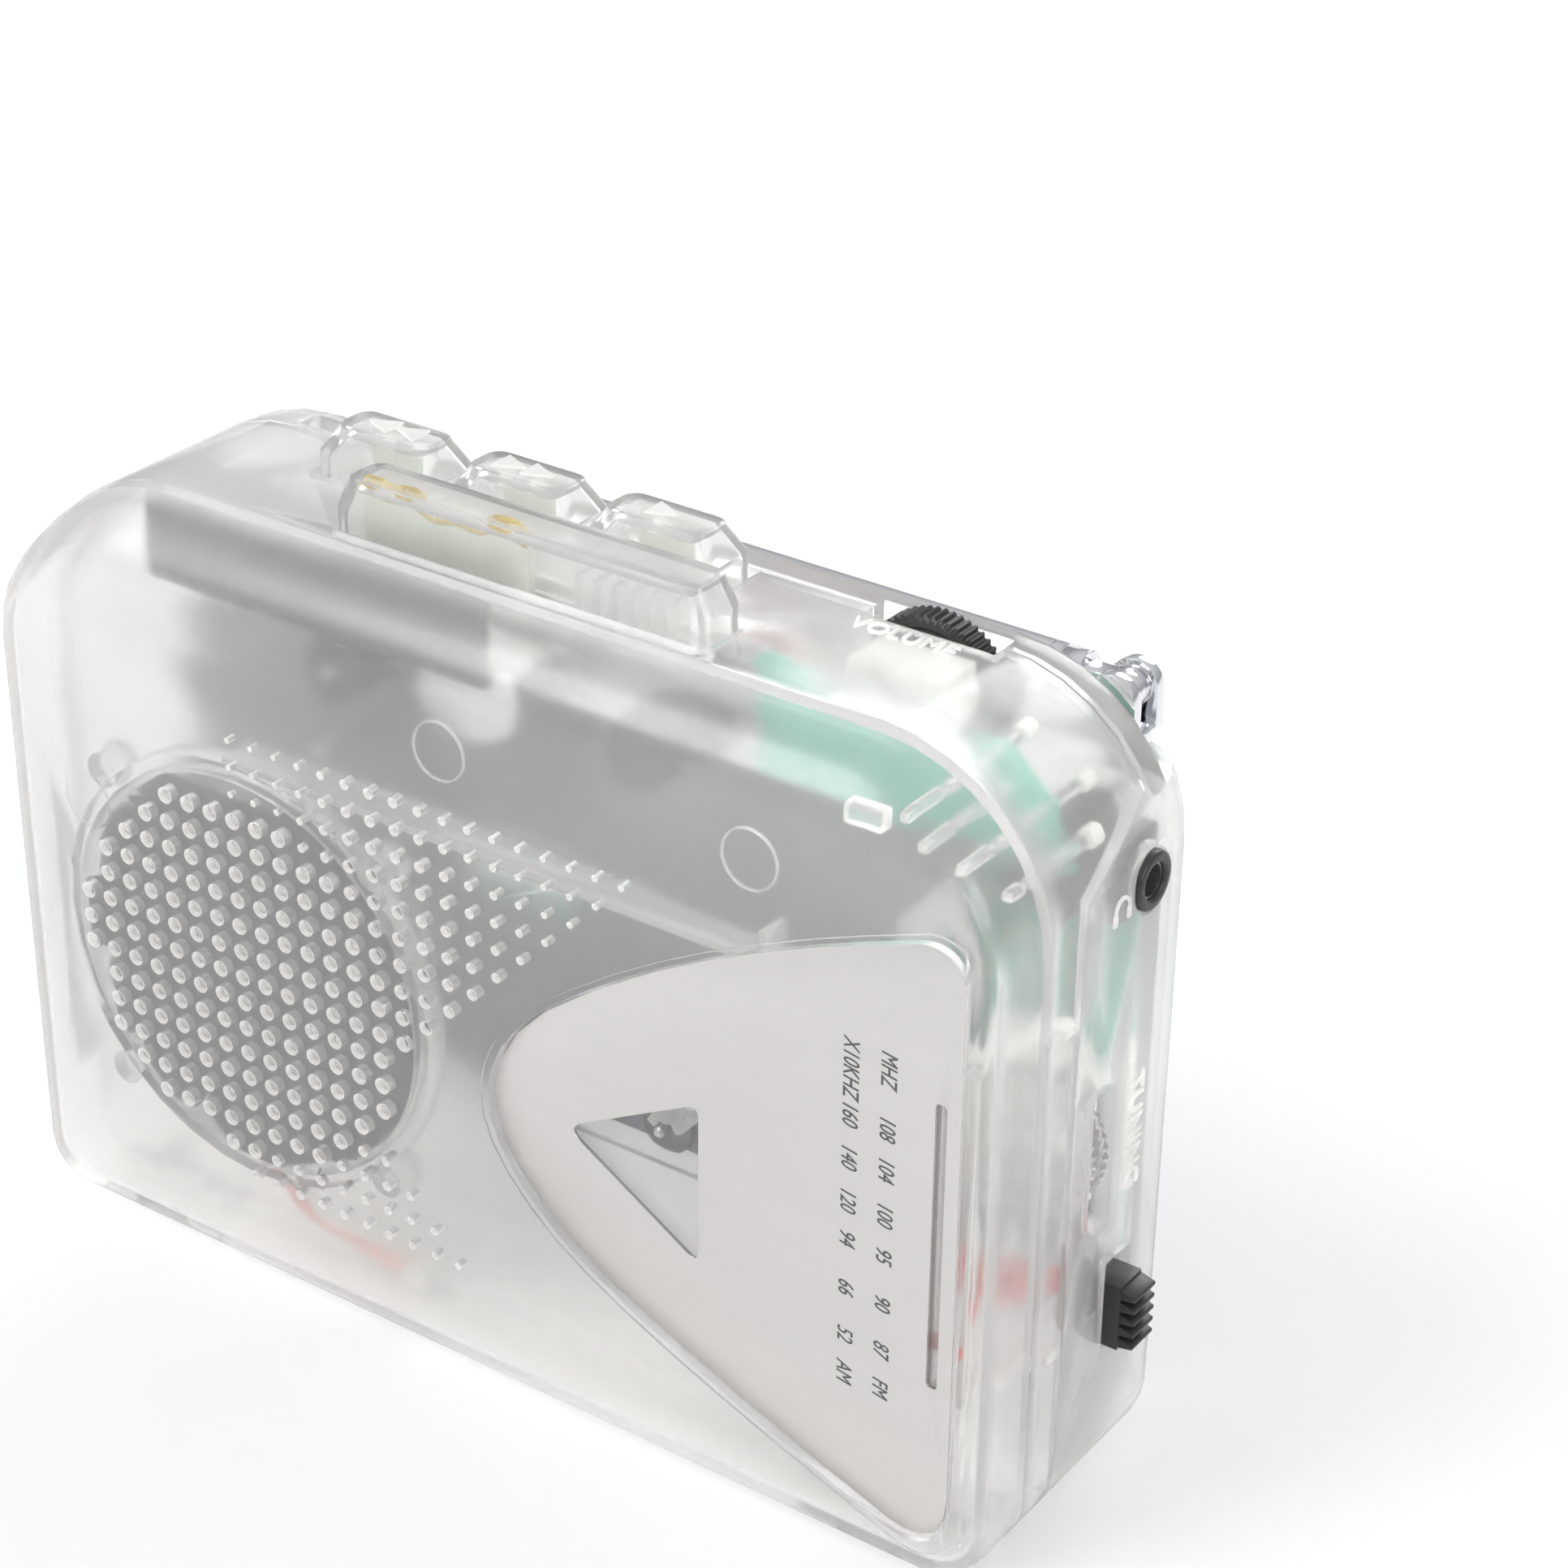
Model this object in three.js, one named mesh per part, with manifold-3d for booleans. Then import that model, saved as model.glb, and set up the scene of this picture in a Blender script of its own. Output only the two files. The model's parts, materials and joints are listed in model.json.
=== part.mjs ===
// A small clear-cased radio cassette player that stands on its long edge.
// X runs along the long edge, Y to the back and Z up. The origin is the middle of the underside.
// Lengths are in millimetres.
import * as THREE from "three";
import { mergeVertices } from "three/addons/utils/BufferGeometryUtils.js";
import Module from "manifold-3d";

const wasm = await Module();
wasm.setup();

// Case
const WIDTH = 120;
const HEIGHT = 84;
const DEPTH = 38;
const WALL = 2;
const FRONT = -DEPTH / 2;
const BACK = DEPTH / 2;
const TOP_CORNER = 18;
const BOTTOM_CORNER = 6;
const FRONT_EDGE = 3;
const BACK_EDGE = 8;
const BEVEL_RADIUS = 9.75;
const DOOR_SEAM = -10;
const REAR_SEAM = 8.3;
const SEAM = 0.15;
const GAP = 0.3;
const FAR = 100;

// Cassette bay: a compact cassette stands in it with its tape edge up
const CASSETTE = { middle: -6, bottom: 2.5, width: 100.4, height: 63.8, midDepth: -3.4 };
const HUB_Z = CASSETTE.bottom + 29.4;
const HUB_SPACING = 42.5;

// Deck
const DECK = { front: 4, thick: 1, bottom: 19, top: 67.5 };
const HEAD_PLATE_FRONT = 2.9;
const FLYWHEEL = { x: -24, z: 59.5, radius: 12.5, front: 6.6, thick: 3 };
const MOTOR = { x: 14, z: 52, radius: 11, front: 8.9, pulley: 3 };
const BELT = { front: 7.6, back: 8.4, thick: 0.8 };
const PLATE = { recess: 1.1, front: 0.4, back: 0.8, bead: 1.3, beadHeight: 0.35, beadRight: 56.9 };
const KEY_TRAVEL = 3.5;

// Keys
const KEY_TOP = 89.5;
const KEY_BOTTOM = 80.8;
const STOP_KEY = { left: -23, right: 21, front: -7.8, back: -1.5 };
const SMALL_KEYS = [
  { name: "rewind_key", left: -33 },
  { name: "forward_key", left: -16.5 },
  { name: "play_key", left: 0 },
];
const SMALL_KEY = { width: 15.4, front: 1, back: 7.9 };
const KEY_CLEARANCE = 0.45;

// Door hinge
const HINGE = { y: DOOR_SEAM, z: 1.15, knuckle: 1.15, bore: 0.65, pin: 0.5 };
const KNUCKLES = { first: 38, doorStart: 42.3, doorEnd: 49.7, last: 54 };

// Loudspeaker
const SPEAKER = { x: -28.9, z: 36.3, radius: 22.4, front: -16.7, back: -9.8 };
const GRILLE = { pitch: 3, hole: 0.85, left: -46.1, top: 42.8 };

// Controls on the right end
const VOLUME = { x: 35.7, z: 77.7, radius: 7.8, front: 6.9, back: 9.7, teeth: 26 };
const TUNING = { x: 52.3, z: 39, radius: 7.8, front: -0.4, back: 2.6, teeth: 24 };
const SLIDER = { front: 3.5, back: 7.5, bottom: 16.5, top: 23.8, travel: 2 };
const JACK = { y: 7.4, z: 66, ring: 2.95, hole: 1.8 };
const POINTER_Z = 26.4;

// Antenna in its recess along the back of the top
const ANTENNA = { y: 16.3, z: 78.8, pivot: 51 };
const RECESS = { left: -42, front: 12, floor: 73.4, lining: 1.4 };
// The recess ends in a round channel, open at the left corner so that the folded antenna can slide.
const CHANNEL = 2.9;
const TUBES = [
  { name: "antenna_tube_1", radius: 2.7, bore: 2.4, inner: 42.5, end: -21.4 },
  { name: "antenna_tube_2", radius: 2.22, bore: 1.95, inner: 41.9, end: -23 },
  { name: "antenna_tube_3", radius: 1.77, bore: 1.5, inner: 41.3, end: -24.5 },
  { name: "antenna_tube_4", radius: 1.32, bore: 1.05, inner: 40.7, end: -26 },
];
const ROD = { radius: 0.85, inner: 40.1, end: -33.3, cap: 2.25, capEnd: -39.4 };

// Battery compartment for two round cells end to end
const BATTERY = { halfLength: 54, front: 2.1, top: 17.3, doorFront: 10.6 };

// Screw wells in the back
const SCREWS = [
  { x: -44.9, z: 69.5, seat: 9.5, reach: 3.6 },
  { x: 52, z: 66.4, seat: 12.6, reach: 1.4 },
  { x: -40.5, z: 23.4, seat: 9.5, reach: 3.6 },
  { x: 38.5, z: 23.4, seat: 9.5, reach: 3.6 },
];
const WELL = { outer: 3.7, inner: 2.6, shank: 1.3 };

const FINISHES = {
  clear: { color: 0xe6e8ea, roughness: 0.45, metalness: 0, transparent: true, opacity: 0.45 },
  plate: { color: 0xcfccc8, roughness: 0.35, metalness: 0.9 },
  steel: { color: 0xb9bbbe, roughness: 0.35, metalness: 1 },
  deck: { color: 0x6f717b, roughness: 0.5, metalness: 0.8 },
  chrome: { color: 0xdadde0, roughness: 0.12, metalness: 1 },
  brass: { color: 0xc9a468, roughness: 0.35, metalness: 1 },
  board: { color: 0x6fa796, roughness: 0.5, metalness: 0 },
  black: { color: 0x2a2829, roughness: 0.5, metalness: 0 },
  rubber: { color: 0x1c1c1d, roughness: 0.8, metalness: 0 },
  cone: { color: 0xa3a2a6, roughness: 0.8, metalness: 0 },
  ferrite: { color: 0x4a4644, roughness: 0.6, metalness: 0.2 },
  copper: { color: 0xb87145, roughness: 0.4, metalness: 1 },
  white: { color: 0xe9e7e2, roughness: 0.5, metalness: 0 },
  red: { color: 0xc8302c, roughness: 0.4, metalness: 0 },
};

const materials = Object.fromEntries(
  Object.entries(FINISHES).map(([name, look]) => [name, new THREE.MeshStandardMaterial(look)]),
);
const player = new THREE.Group();

// ---- Solids ----

// A closed geometry as a solid whose faces point out.
function solidOf(geometry) {
  const bare = new THREE.BufferGeometry();
  bare.setAttribute("position", geometry.getAttribute("position"));
  bare.setIndex(geometry.index);
  const merged = mergeVertices(bare, 1e-4);
  const kept = [];
  const index = merged.index.array;
  for (let i = 0; i < index.length; i += 3) {
    const [a, b, c] = index.slice(i, i + 3);
    if (a !== b && b !== c && a !== c) kept.push(a, b, c);
  }
  const build = (triangles) =>
    new wasm.Manifold(
      new wasm.Mesh({
        numProp: 3,
        vertProperties: new Float32Array(merged.attributes.position.array),
        triVerts: new Uint32Array(triangles),
      }),
    );
  const solid = build(kept);
  return solid.volume() < 0 ? build(kept.toReversed()) : solid;
}

function geometryOf(solid) {
  const mesh = solid.getMesh();
  const geometry = new THREE.BufferGeometry();
  geometry.setAttribute("position", new THREE.BufferAttribute(mesh.vertProperties, 3));
  geometry.setIndex(new THREE.BufferAttribute(mesh.triVerts, 1));
  geometry.computeVertexNormals();
  return geometry;
}

function join(...solids) {
  return solids.reduce((whole, piece) => whole.add(piece));
}

function cut(solid, ...tools) {
  return tools.reduce((rest, tool) => rest.subtract(tool), solid);
}

function addPart(name, solid, finish) {
  const mesh = new THREE.Mesh(geometryOf(solid), materials[finish]);
  mesh.name = name;
  player.add(mesh);
}

// A block between two x, two y and two z values.
function block(x0, x1, y0, y1, z0, z1) {
  const geometry = new THREE.BoxGeometry(x1 - x0, y1 - y0, z1 - z0);
  geometry.translate((x0 + x1) / 2, (y0 + y1) / 2, (z0 + z1) / 2);
  return solidOf(geometry);
}

// A round bar along one axis; across holds its centre line's other two coordinates, in X, Y, Z order.
function bar(axis, radius, from, to, across, sides = 16) {
  const geometry = new THREE.CylinderGeometry(radius, radius, to - from, sides);
  const middle = (from + to) / 2;
  if (axis === "x") {
    geometry.rotateZ(Math.PI / 2);
    geometry.translate(middle, across[0], across[1]);
  } else if (axis === "y") {
    geometry.translate(across[0], middle, across[1]);
  } else {
    geometry.rotateX(Math.PI / 2);
    geometry.translate(across[0], across[1], middle);
  }
  return solidOf(geometry);
}

// A turned piece about a line along Y. The profile's points are radius and y, and it starts and ends on
// that line or closes on itself.
function turned(profile, x, z, sides = 24) {
  const points = profile.map(([radius, y]) => new THREE.Vector2(radius, y));
  const geometry = new THREE.LatheGeometry(points, sides);
  geometry.translate(x, 0, z);
  return solidOf(geometry);
}

function pushed(shape, depth, curveSegments) {
  return new THREE.ExtrudeGeometry(shape, { depth, bevelEnabled: false, curveSegments });
}

// A flat outline in X and Z, pushed along Y.
function slabY(shape, from, to, curveSegments = 6) {
  const geometry = pushed(shape, to - from, curveSegments);
  geometry.rotateX(Math.PI / 2);
  geometry.translate(0, to, 0);
  return solidOf(geometry);
}

// A flat outline in X and Y, pushed along Z.
function slabZ(shape, from, to, curveSegments = 4) {
  const geometry = pushed(shape, to - from, curveSegments);
  geometry.translate(0, 0, from);
  return solidOf(geometry);
}

// A flat outline in Y and Z, pushed along X.
function slabX(shape, from, to, curveSegments = 6) {
  const geometry = pushed(shape, to - from, curveSegments);
  const turn = new THREE.Matrix4().makeBasis(
    new THREE.Vector3(0, 1, 0),
    new THREE.Vector3(0, 0, 1),
    new THREE.Vector3(1, 0, 0),
  );
  geometry.applyMatrix4(turn);
  geometry.translate(from, 0, 0);
  return solidOf(geometry);
}

// A polygon with rounded corners; each corner is two coordinates and a radius.
function rounded(corners) {
  const shape = new THREE.Shape();
  corners.forEach(([u, v, radius], i) => {
    const at = new THREE.Vector2(u, v);
    const before = new THREE.Vector2(...corners.at(i - 1));
    const after = new THREE.Vector2(...corners[(i + 1) % corners.length]);
    const start = at.clone().add(before.sub(at).setLength(radius));
    const end = at.clone().add(after.sub(at).setLength(radius));
    if (i === 0) shape.moveTo(start.x, start.y);
    else shape.lineTo(start.x, start.y);
    if (radius > 0) shape.quadraticCurveTo(at.x, at.y, end.x, end.y);
  });
  shape.closePath();
  return shape;
}

function rectangle(u0, u1, v0, v1, radius = 0) {
  return rounded([
    [u0, v0, radius],
    [u1, v0, radius],
    [u1, v1, radius],
    [u0, v1, radius],
  ]);
}

// A round outline in X and Z whose rim steps between two radii.
function toothed(x, z, radius, depth, teeth) {
  const points = Array.from({ length: teeth * 2 }, (_, i) => {
    const angle = (i / teeth) * Math.PI;
    const reach = i % 2 ? radius : radius - depth;
    return new THREE.Vector2(x + reach * Math.cos(angle), z + reach * Math.sin(angle));
  });
  return new THREE.Shape(points);
}

// A wheel about a line along Y with finger notches round its rim.
function fingerWheel({ x, z, radius, front, back, teeth }, bore) {
  return cut(slabY(toothed(x, z, radius, 0.5, teeth), front, back), bar("y", bore, -FAR, FAR, [x, z]));
}

// ---- The outer form of the case, shrunk by inset ----

function arcDrop(distance, radius) {
  const past = Math.min(Math.max(distance, 0), radius);
  return radius - Math.sqrt(radius * radius - past * past);
}

function caseForm(inset) {
  const front = FRONT + inset;
  const back = BACK - inset;
  const frontEdge = Math.max(FRONT_EDGE - inset, 0.6);
  const backEdge = BACK_EDGE - inset;
  const bevel = BEVEL_RADIUS - inset;
  const sideAt = (y) =>
    inset + arcDrop(front + frontEdge - y, frontEdge) + arcDrop(y - (back - backEdge), backEdge);
  const topAt = (y) => inset + arcDrop(DOOR_SEAM - y, bevel) + arcDrop(y - (back - backEdge), backEdge);

  const corner = (x, z, rx, rz, start, steps) =>
    Array.from({ length: steps + 1 }, (_, i) => {
      const angle = ((start + (90 * i) / steps) * Math.PI) / 180;
      return [x + rx * Math.cos(angle), z + rz * Math.sin(angle)];
    });
  const ringAt = (y) => {
    const side = WIDTH / 2 - sideAt(y);
    const low = sideAt(y);
    const high = HEIGHT - topAt(y);
    const small = Math.max(BOTTOM_CORNER - low, 0.4);
    const wide = TOP_CORNER - sideAt(y);
    const tall = TOP_CORNER - topAt(y);
    return [
      ...corner(side - wide, high - tall, wide, tall, 0, 8),
      ...corner(-side + wide, high - tall, wide, tall, 90, 8),
      ...corner(-side + small, low + small, small, small, 180, 4),
      ...corner(side - small, low + small, small, small, 270, 4),
    ].map(([x, z]) => new THREE.Vector3(x, y, z));
  };

  const depths = [];
  for (let i = 0; i <= 3; i += 1) depths.push(front + frontEdge * (1 - Math.cos((i * Math.PI) / 6)));
  const flat = DOOR_SEAM - front - frontEdge;
  for (const share of [0.45, 0.7, 1]) depths.push(front + frontEdge + flat * share);
  for (let i = 0; i <= 5; i += 1) depths.push(back - backEdge + backEdge * Math.sin((i * Math.PI) / 10));
  return loft(depths.map(ringAt));
}

// A skin over rings of equal length, closed at both ends.
function loft(rings) {
  const count = rings[0].length;
  const points = rings.flat();
  const index = [];
  for (let ring = 0; ring + 1 < rings.length; ring += 1) {
    for (let i = 0; i < count; i += 1) {
      const a = ring * count + i;
      const b = ring * count + ((i + 1) % count);
      index.push(a, b, a + count, b, b + count, a + count);
    }
  }
  const last = points.length - count;
  for (let i = 1; i + 1 < count; i += 1) {
    index.push(0, i + 1, i);
    index.push(last, last + i, last + i + 1);
  }
  const geometry = new THREE.BufferGeometry().setFromPoints(points);
  geometry.setIndex(index);
  return solidOf(geometry);
}

const outside = caseForm(0);
const hollow = caseForm(WALL);
const skin = cut(outside, hollow);

// ---- The front door with the loudspeaker and the dial plate ----

function plateShape() {
  const shape = new THREE.Shape();
  shape.moveTo(56.8, 11);
  shape.lineTo(56.7, 66);
  shape.bezierCurveTo(56.7, 68.6, 54.8, 69.9, 52.2, 69.4);
  shape.bezierCurveTo(36, 63.5, 22, 56.5, 10.5, 47);
  shape.bezierCurveTo(2.2, 39.5, 2, 32, 9.5, 25);
  shape.bezierCurveTo(15.5, 18.5, 33, 12, 50, 5.8);
  shape.bezierCurveTo(54, 4.4, 56.8, 6, 56.8, 11);
  return shape;
}

// The plate's outline grown about its own middle.
function grownPlate(amount) {
  const [x, z] = [31, 37];
  const share = 1 + amount / 28;
  const grown = (p) => new THREE.Vector2(x + (p.x - x) * share, z + (p.y - z) * share);
  return new THREE.Shape(plateShape().getPoints(8).map(grown));
}

const windowShape = rounded([
  [12.6, 34.9, 2.4],
  [28.3, 25.4, 1.6],
  [28.3, 43.4, 1.6],
]);
const slotShape = rectangle(54, 55.2, 22.8, 53.7, 0.5);

function grilleHoles() {
  const holes = [];
  for (let column = 0; column < 16; column += 1) {
    for (let row = -7; row < 10; row += 1) {
      const x = GRILLE.left + GRILLE.pitch * column;
      const z = GRILLE.top - GRILLE.pitch * row;
      const reach = Math.hypot(x - SPEAKER.x, z - SPEAKER.z);
      if (reach > SPEAKER.radius - 1.6) continue;
      holes.push(bar("y", GRILLE.hole, FRONT - 1, FRONT + WALL + 1, [x, z], 4));
    }
  }
  return wasm.Manifold.union(holes);
}

function doorShell() {
  const region = block(-FAR, FAR, -FAR, DOOR_SEAM - SEAM, -FAR, FAR);
  const ringInner = SPEAKER.radius + GAP;
  const ring = cut(
    bar("y", ringInner + 1.4, FRONT + WALL - 0.4, SPEAKER.front + 2.4, [SPEAKER.x, SPEAKER.z], 32),
    bar("y", ringInner, -FAR, FAR, [SPEAKER.x, SPEAKER.z], 32),
  );
  const recess = slabY(grownPlate(GAP), -FAR, FRONT + PLATE.recess);
  const bead = slabY(grownPlate(PLATE.bead), FRONT - PLATE.beadHeight, FRONT + WALL / 2).intersect(
    block(-FAR, PLATE.beadRight, -FAR, FAR, -FAR, FAR),
  );
  let shell = join(skin.intersect(region), ring, bead);
  shell = cut(shell, recess, grilleHoles());
  for (const side of [-1, 1]) {
    const [start, end] = [side * KNUCKLES.doorStart, side * KNUCKLES.doorEnd].sort((a, b) => a - b);
    for (const [from, to] of [
      [KNUCKLES.first - GAP, KNUCKLES.doorStart],
      [KNUCKLES.doorEnd, KNUCKLES.last + GAP],
    ]) {
      const [left, right] = [side * from, side * to].sort((a, b) => a - b);
      shell = cut(shell, block(left, right, HINGE.y - 1.5, 0, -1, 2.5));
    }
    shell = join(
      shell,
      bar("x", HINGE.knuckle, start, end, [HINGE.y, HINGE.z], 14),
      block(start, end, HINGE.y - 2, HINGE.y, 0.1, 2),
    );
  }
  return cut(shell, bar("x", HINGE.bore, -FAR, FAR, [HINGE.y, HINGE.z], 12));
}

function dialPlate() {
  const plate = slabY(plateShape(), FRONT + PLATE.front, FRONT + PLATE.back);
  return cut(plate, slabY(windowShape, -FAR, FAR), slabY(slotShape, -FAR, FAR));
}

addPart("door_shell", doorShell(), "clear");
addPart("dial_plate", dialPlate(), "plate");

function hingePin(left) {
  return bar("x", HINGE.pin, left, left + KNUCKLES.last - KNUCKLES.first, [HINGE.y, HINGE.z], 10);
}

addPart("hinge_pin_left", hingePin(-KNUCKLES.last), "steel");
addPart("hinge_pin_right", hingePin(KNUCKLES.first), "steel");

// ---- Loudspeaker: basket, paper cone, magnet ----

{
  const { x, z, radius, front, back } = SPEAKER;
  const basket = [
    [radius, front],
    [radius, front + 0.8],
    [radius - 3.2, front + 0.8],
    [10.6, back - 2.4],
    [10.6, back - 1.6],
    [8.4, back - 1.6],
    [8.4, back - 2.6],
    [radius - 4.4, front + 0.9],
    [radius - 2.4, front],
  ];
  basket.push(basket[0]);
  const cone = [
    [radius - 3, front],
    [radius - 5, front + 0.8],
    [7, front + 3.2],
    [4.4, front + 2.4],
    [0, front + 1.7],
    [0, front + 1.2],
    [4.6, front + 1.9],
    [7, front + 2.6],
    [radius - 5.2, front + 0.2],
    [radius - 3.6, front - 0.2],
  ];
  cone.push(cone[0]);
  const magnet = [
    [0, back - 3],
    [7.6, back - 3],
    [8, back - 2.6],
    [8, back],
    [0, back],
  ];
  addPart("speaker_basket", turned(basket, x, z, 28), "steel");
  addPart("speaker_cone", turned(cone, x, z, 24), "cone");
  addPart("speaker_magnet", turned(magnet, x, z, 20), "deck");
}

// ---- Middle frame, with the key wells, and the rear shell, which wraps round the right end ----

// The part of the right end that belongs to the rear shell, grown by margin.
function wrapRegion(margin) {
  const outline = rounded([
    [-4.4 - margin, -10, 0],
    [12, -10, 0],
    [12, 76 + margin, 0],
    [8, 74 + margin, 0],
    [-3.6 - margin, 68.6 + margin, 0],
    [-4.4 - margin, 65, 0],
  ]);
  return slabX(outline, 50 - margin, FAR);
}

function keyWells() {
  const { left, right, front, back } = STOP_KEY;
  const c = KEY_CLEARANCE;
  const smallLeft = SMALL_KEYS[0].left - c;
  const smallRight = SMALL_KEYS.at(-1).left + SMALL_KEY.width + c;
  return join(
    slabZ(rectangle(left - c, right + c, front - c, back + c, 1.5), 75, FAR),
    slabZ(rectangle(smallLeft, smallRight, SMALL_KEY.front - c, REAR_SEAM + 1), 75, FAR),
  );
}

const volumeNotch = block(28.6, 42.8, 6.5, 10.1, 76, FAR);

function middleFrame() {
  const region = block(-FAR, FAR, DOOR_SEAM + SEAM, REAR_SEAM - SEAM, -FAR, FAR);
  const baySide = CASSETTE.middle + CASSETTE.width / 2 + 0.6;
  const partition = block(baySide, baySide + 1.2, DOOR_SEAM + SEAM, -1, 1, 66);
  let frame = cut(join(skin.intersect(region), partition), wrapRegion(SEAM), keyWells(), volumeNotch);
  frame = cut(frame, block(-FAR, FAR, -FAR, HINGE.y + 0.75, -1, 2.3));
  for (const side of [-1, 1]) {
    const [left, right] = [side * KNUCKLES.doorStart, side * KNUCKLES.doorEnd].sort((a, b) => a - b);
    frame = cut(frame, block(left - GAP, right + GAP, -FAR, HINGE.y + 1.5, -1, 2.5));
    for (const [from, to] of [
      [KNUCKLES.first, KNUCKLES.doorStart - GAP],
      [KNUCKLES.doorEnd + GAP, KNUCKLES.last],
    ]) {
      const [start, end] = [side * from, side * to].sort((a, b) => a - b);
      frame = join(
        frame,
        bar("x", HINGE.knuckle, start, end, [HINGE.y, HINGE.z], 14),
        block(start, end, HINGE.y, HINGE.y + 2.5, 0.1, 2),
      );
    }
  }
  return cut(frame, bar("x", HINGE.bore, -FAR, FAR, [HINGE.y, HINGE.z], 12));
}

function batteryDoorRegion(margin) {
  const { halfLength, top, doorFront } = BATTERY;
  return block(-halfLength - margin, halfLength + margin, doorFront - margin, FAR, -FAR, top + margin);
}

// The compartment's walls, open to the back, between the cassette bay and the board.
function batteryBox() {
  const { halfLength, front, top } = BATTERY;
  const outer = block(-halfLength - 1.3, halfLength + 1.3, front - 0.9, BACK - 1.5, WALL + 0.6, top + 1.5);
  const inner = block(-halfLength - 0.5, halfLength + 0.5, front, FAR, -FAR, top + 0.5);
  return cut(outer, inner);
}

function screwWell({ x, z, seat }) {
  return bar("y", WELL.outer, seat - 1.4, BACK - 0.6, [x, z], 20);
}

function screwHole({ x, z, seat }) {
  return join(bar("y", WELL.inner, seat, FAR, [x, z], 16), bar("y", WELL.shank, 0, FAR, [x, z], 12));
}

// The room that the folded antenna lies in, grown by margin.
function antennaRoom(margin) {
  const { left, front, floor } = RECESS;
  const { y, z } = ANTENNA;
  const reach = CHANNEL + margin;
  return join(
    block(left - margin, FAR, front - margin, FAR, floor - margin, FAR),
    bar("x", reach, -FAR, left + 1, [y, z], 24),
    block(-FAR, left + 1, y, FAR, z - reach, z + reach),
  );
}

function rearShell() {
  const region = join(block(-FAR, FAR, REAR_SEAM + SEAM, FAR, -FAR, FAR), wrapRegion(0));
  const { front, floor, lining } = RECESS;
  const { pivot, y, z } = ANTENNA;
  const room = antennaRoom(0);
  const roomWalls = cut(antennaRoom(lining), room).intersect(outside);
  let shell = cut(skin.intersect(region), room);
  shell = join(shell, roomWalls, batteryBox().intersect(outside), ...SCREWS.map(screwWell));
  const clip = block(-33.8, -31.8, y - 2.4, y + 2.4, floor - 0.5, z - 2.6);
  const switchSlot = slabX(rectangle(SLIDER.front - GAP, SLIDER.back + GAP, 16.2, 26.1, 0.4), 55, FAR);
  const wheelSlot = slabX(rectangle(TUNING.front - 0.5, TUNING.back + 0.5, 31, 47, 1.4), 55, FAR);
  const tools = [
    batteryDoorRegion(GAP),
    volumeNotch,
    bar("z", 1.9, floor - 5, floor + 5, [pivot, y]),
    block(-33.1, -28.6, front - 3, front + 1, 74.3, 78.9),
    bar("x", JACK.ring + GAP, 55, FAR, [JACK.y, JACK.z], 24),
    switchSlot,
    wheelSlot,
    ...SCREWS.map(screwHole),
  ];
  return cut(join(shell, clip), ...tools);
}

addPart("middle_frame", middleFrame(), "clear");
addPart("rear_shell", rearShell(), "clear");

// ---- Battery door and contacts ----

addPart("battery_door", skin.intersect(batteryDoorRegion(0)), "clear");
{
  const { halfLength, front } = BATTERY;
  const [y, z] = [(front + BACK - WALL) / 2, 9.9];
  const inside = halfLength + 0.5 - GAP;
  const spring = join(
    block(-inside, -inside + 0.5, y - 5, y + 5, z - 6, z + 6),
    bar("x", 3.6, -inside + 0.4, -inside + 1.4, [y, z], 14),
  );
  const plate = join(
    block(inside - 0.5, inside, y - 5, y + 5, z - 6, z + 6),
    bar("x", 1.8, inside - 1.3, inside - 0.4, [y, z], 14),
  );
  addPart("battery_spring", spring, "steel");
  addPart("battery_contact", plate, "steel");
}

// ---- Screws ----

SCREWS.forEach(({ x, z, seat, reach }, i) => {
  const head = bar("y", 2.2, seat + GAP, seat + 2, [x, z], 16);
  const shank = bar("y", 0.9, seat - reach, seat + 1, [x, z], 10);
  const cross = join(
    block(x - 1.4, x + 1.4, seat + 1.2, FAR, z - 0.3, z + 0.3),
    block(x - 0.3, x + 0.3, seat + 1.2, FAR, z - 1.4, z + 1.4),
  );
  addPart(`case_screw_${i + 1}`, cut(join(head, shank), cross), "steel");
});

// ---- Keys: clear caps over metal levers ----

function keyCap(left, right, front, back, radius) {
  const cap = slabZ(rectangle(left, right, front, back, radius), KEY_BOTTOM, KEY_TOP);
  return cut(cap, block(left + 1.4, right - 1.4, front + 1.4, back - 1.4, 0, KEY_TOP - 1.4));
}

{
  const { left, right, front, back } = STOP_KEY;
  const middle = (front + back) / 2;
  addPart("stop_key", keyCap(left, right, front, back, 2.4), "clear");
  addPart("stop_key_lever", block(left + 2, -1, middle - 0.5, middle + 0.5, 79, KEY_TOP - 2), "steel");
}
for (const { name, left } of SMALL_KEYS) {
  const { width, front, back } = SMALL_KEY;
  const middle = left + width / 2;
  const lever = join(
    block(middle - 3.5, middle + 3.5, 5.2, 6.1, 77, KEY_TOP - 2),
    block(middle - 2, middle + 2, 5.2, 6.1, 72.4, 77.5),
  );
  addPart(name, keyCap(left, left + width, front, back, 1.2), "clear");
  addPart(`${name}_lever`, lever, "steel");
}
addPart("key_bracket", block(-46, -3, -9.4, -8.5, 72.5, 81), "deck");

// ---- Tape deck ----

const hubs = [-1, 1].map((side) => CASSETTE.middle + (side * HUB_SPACING) / 2);

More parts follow.
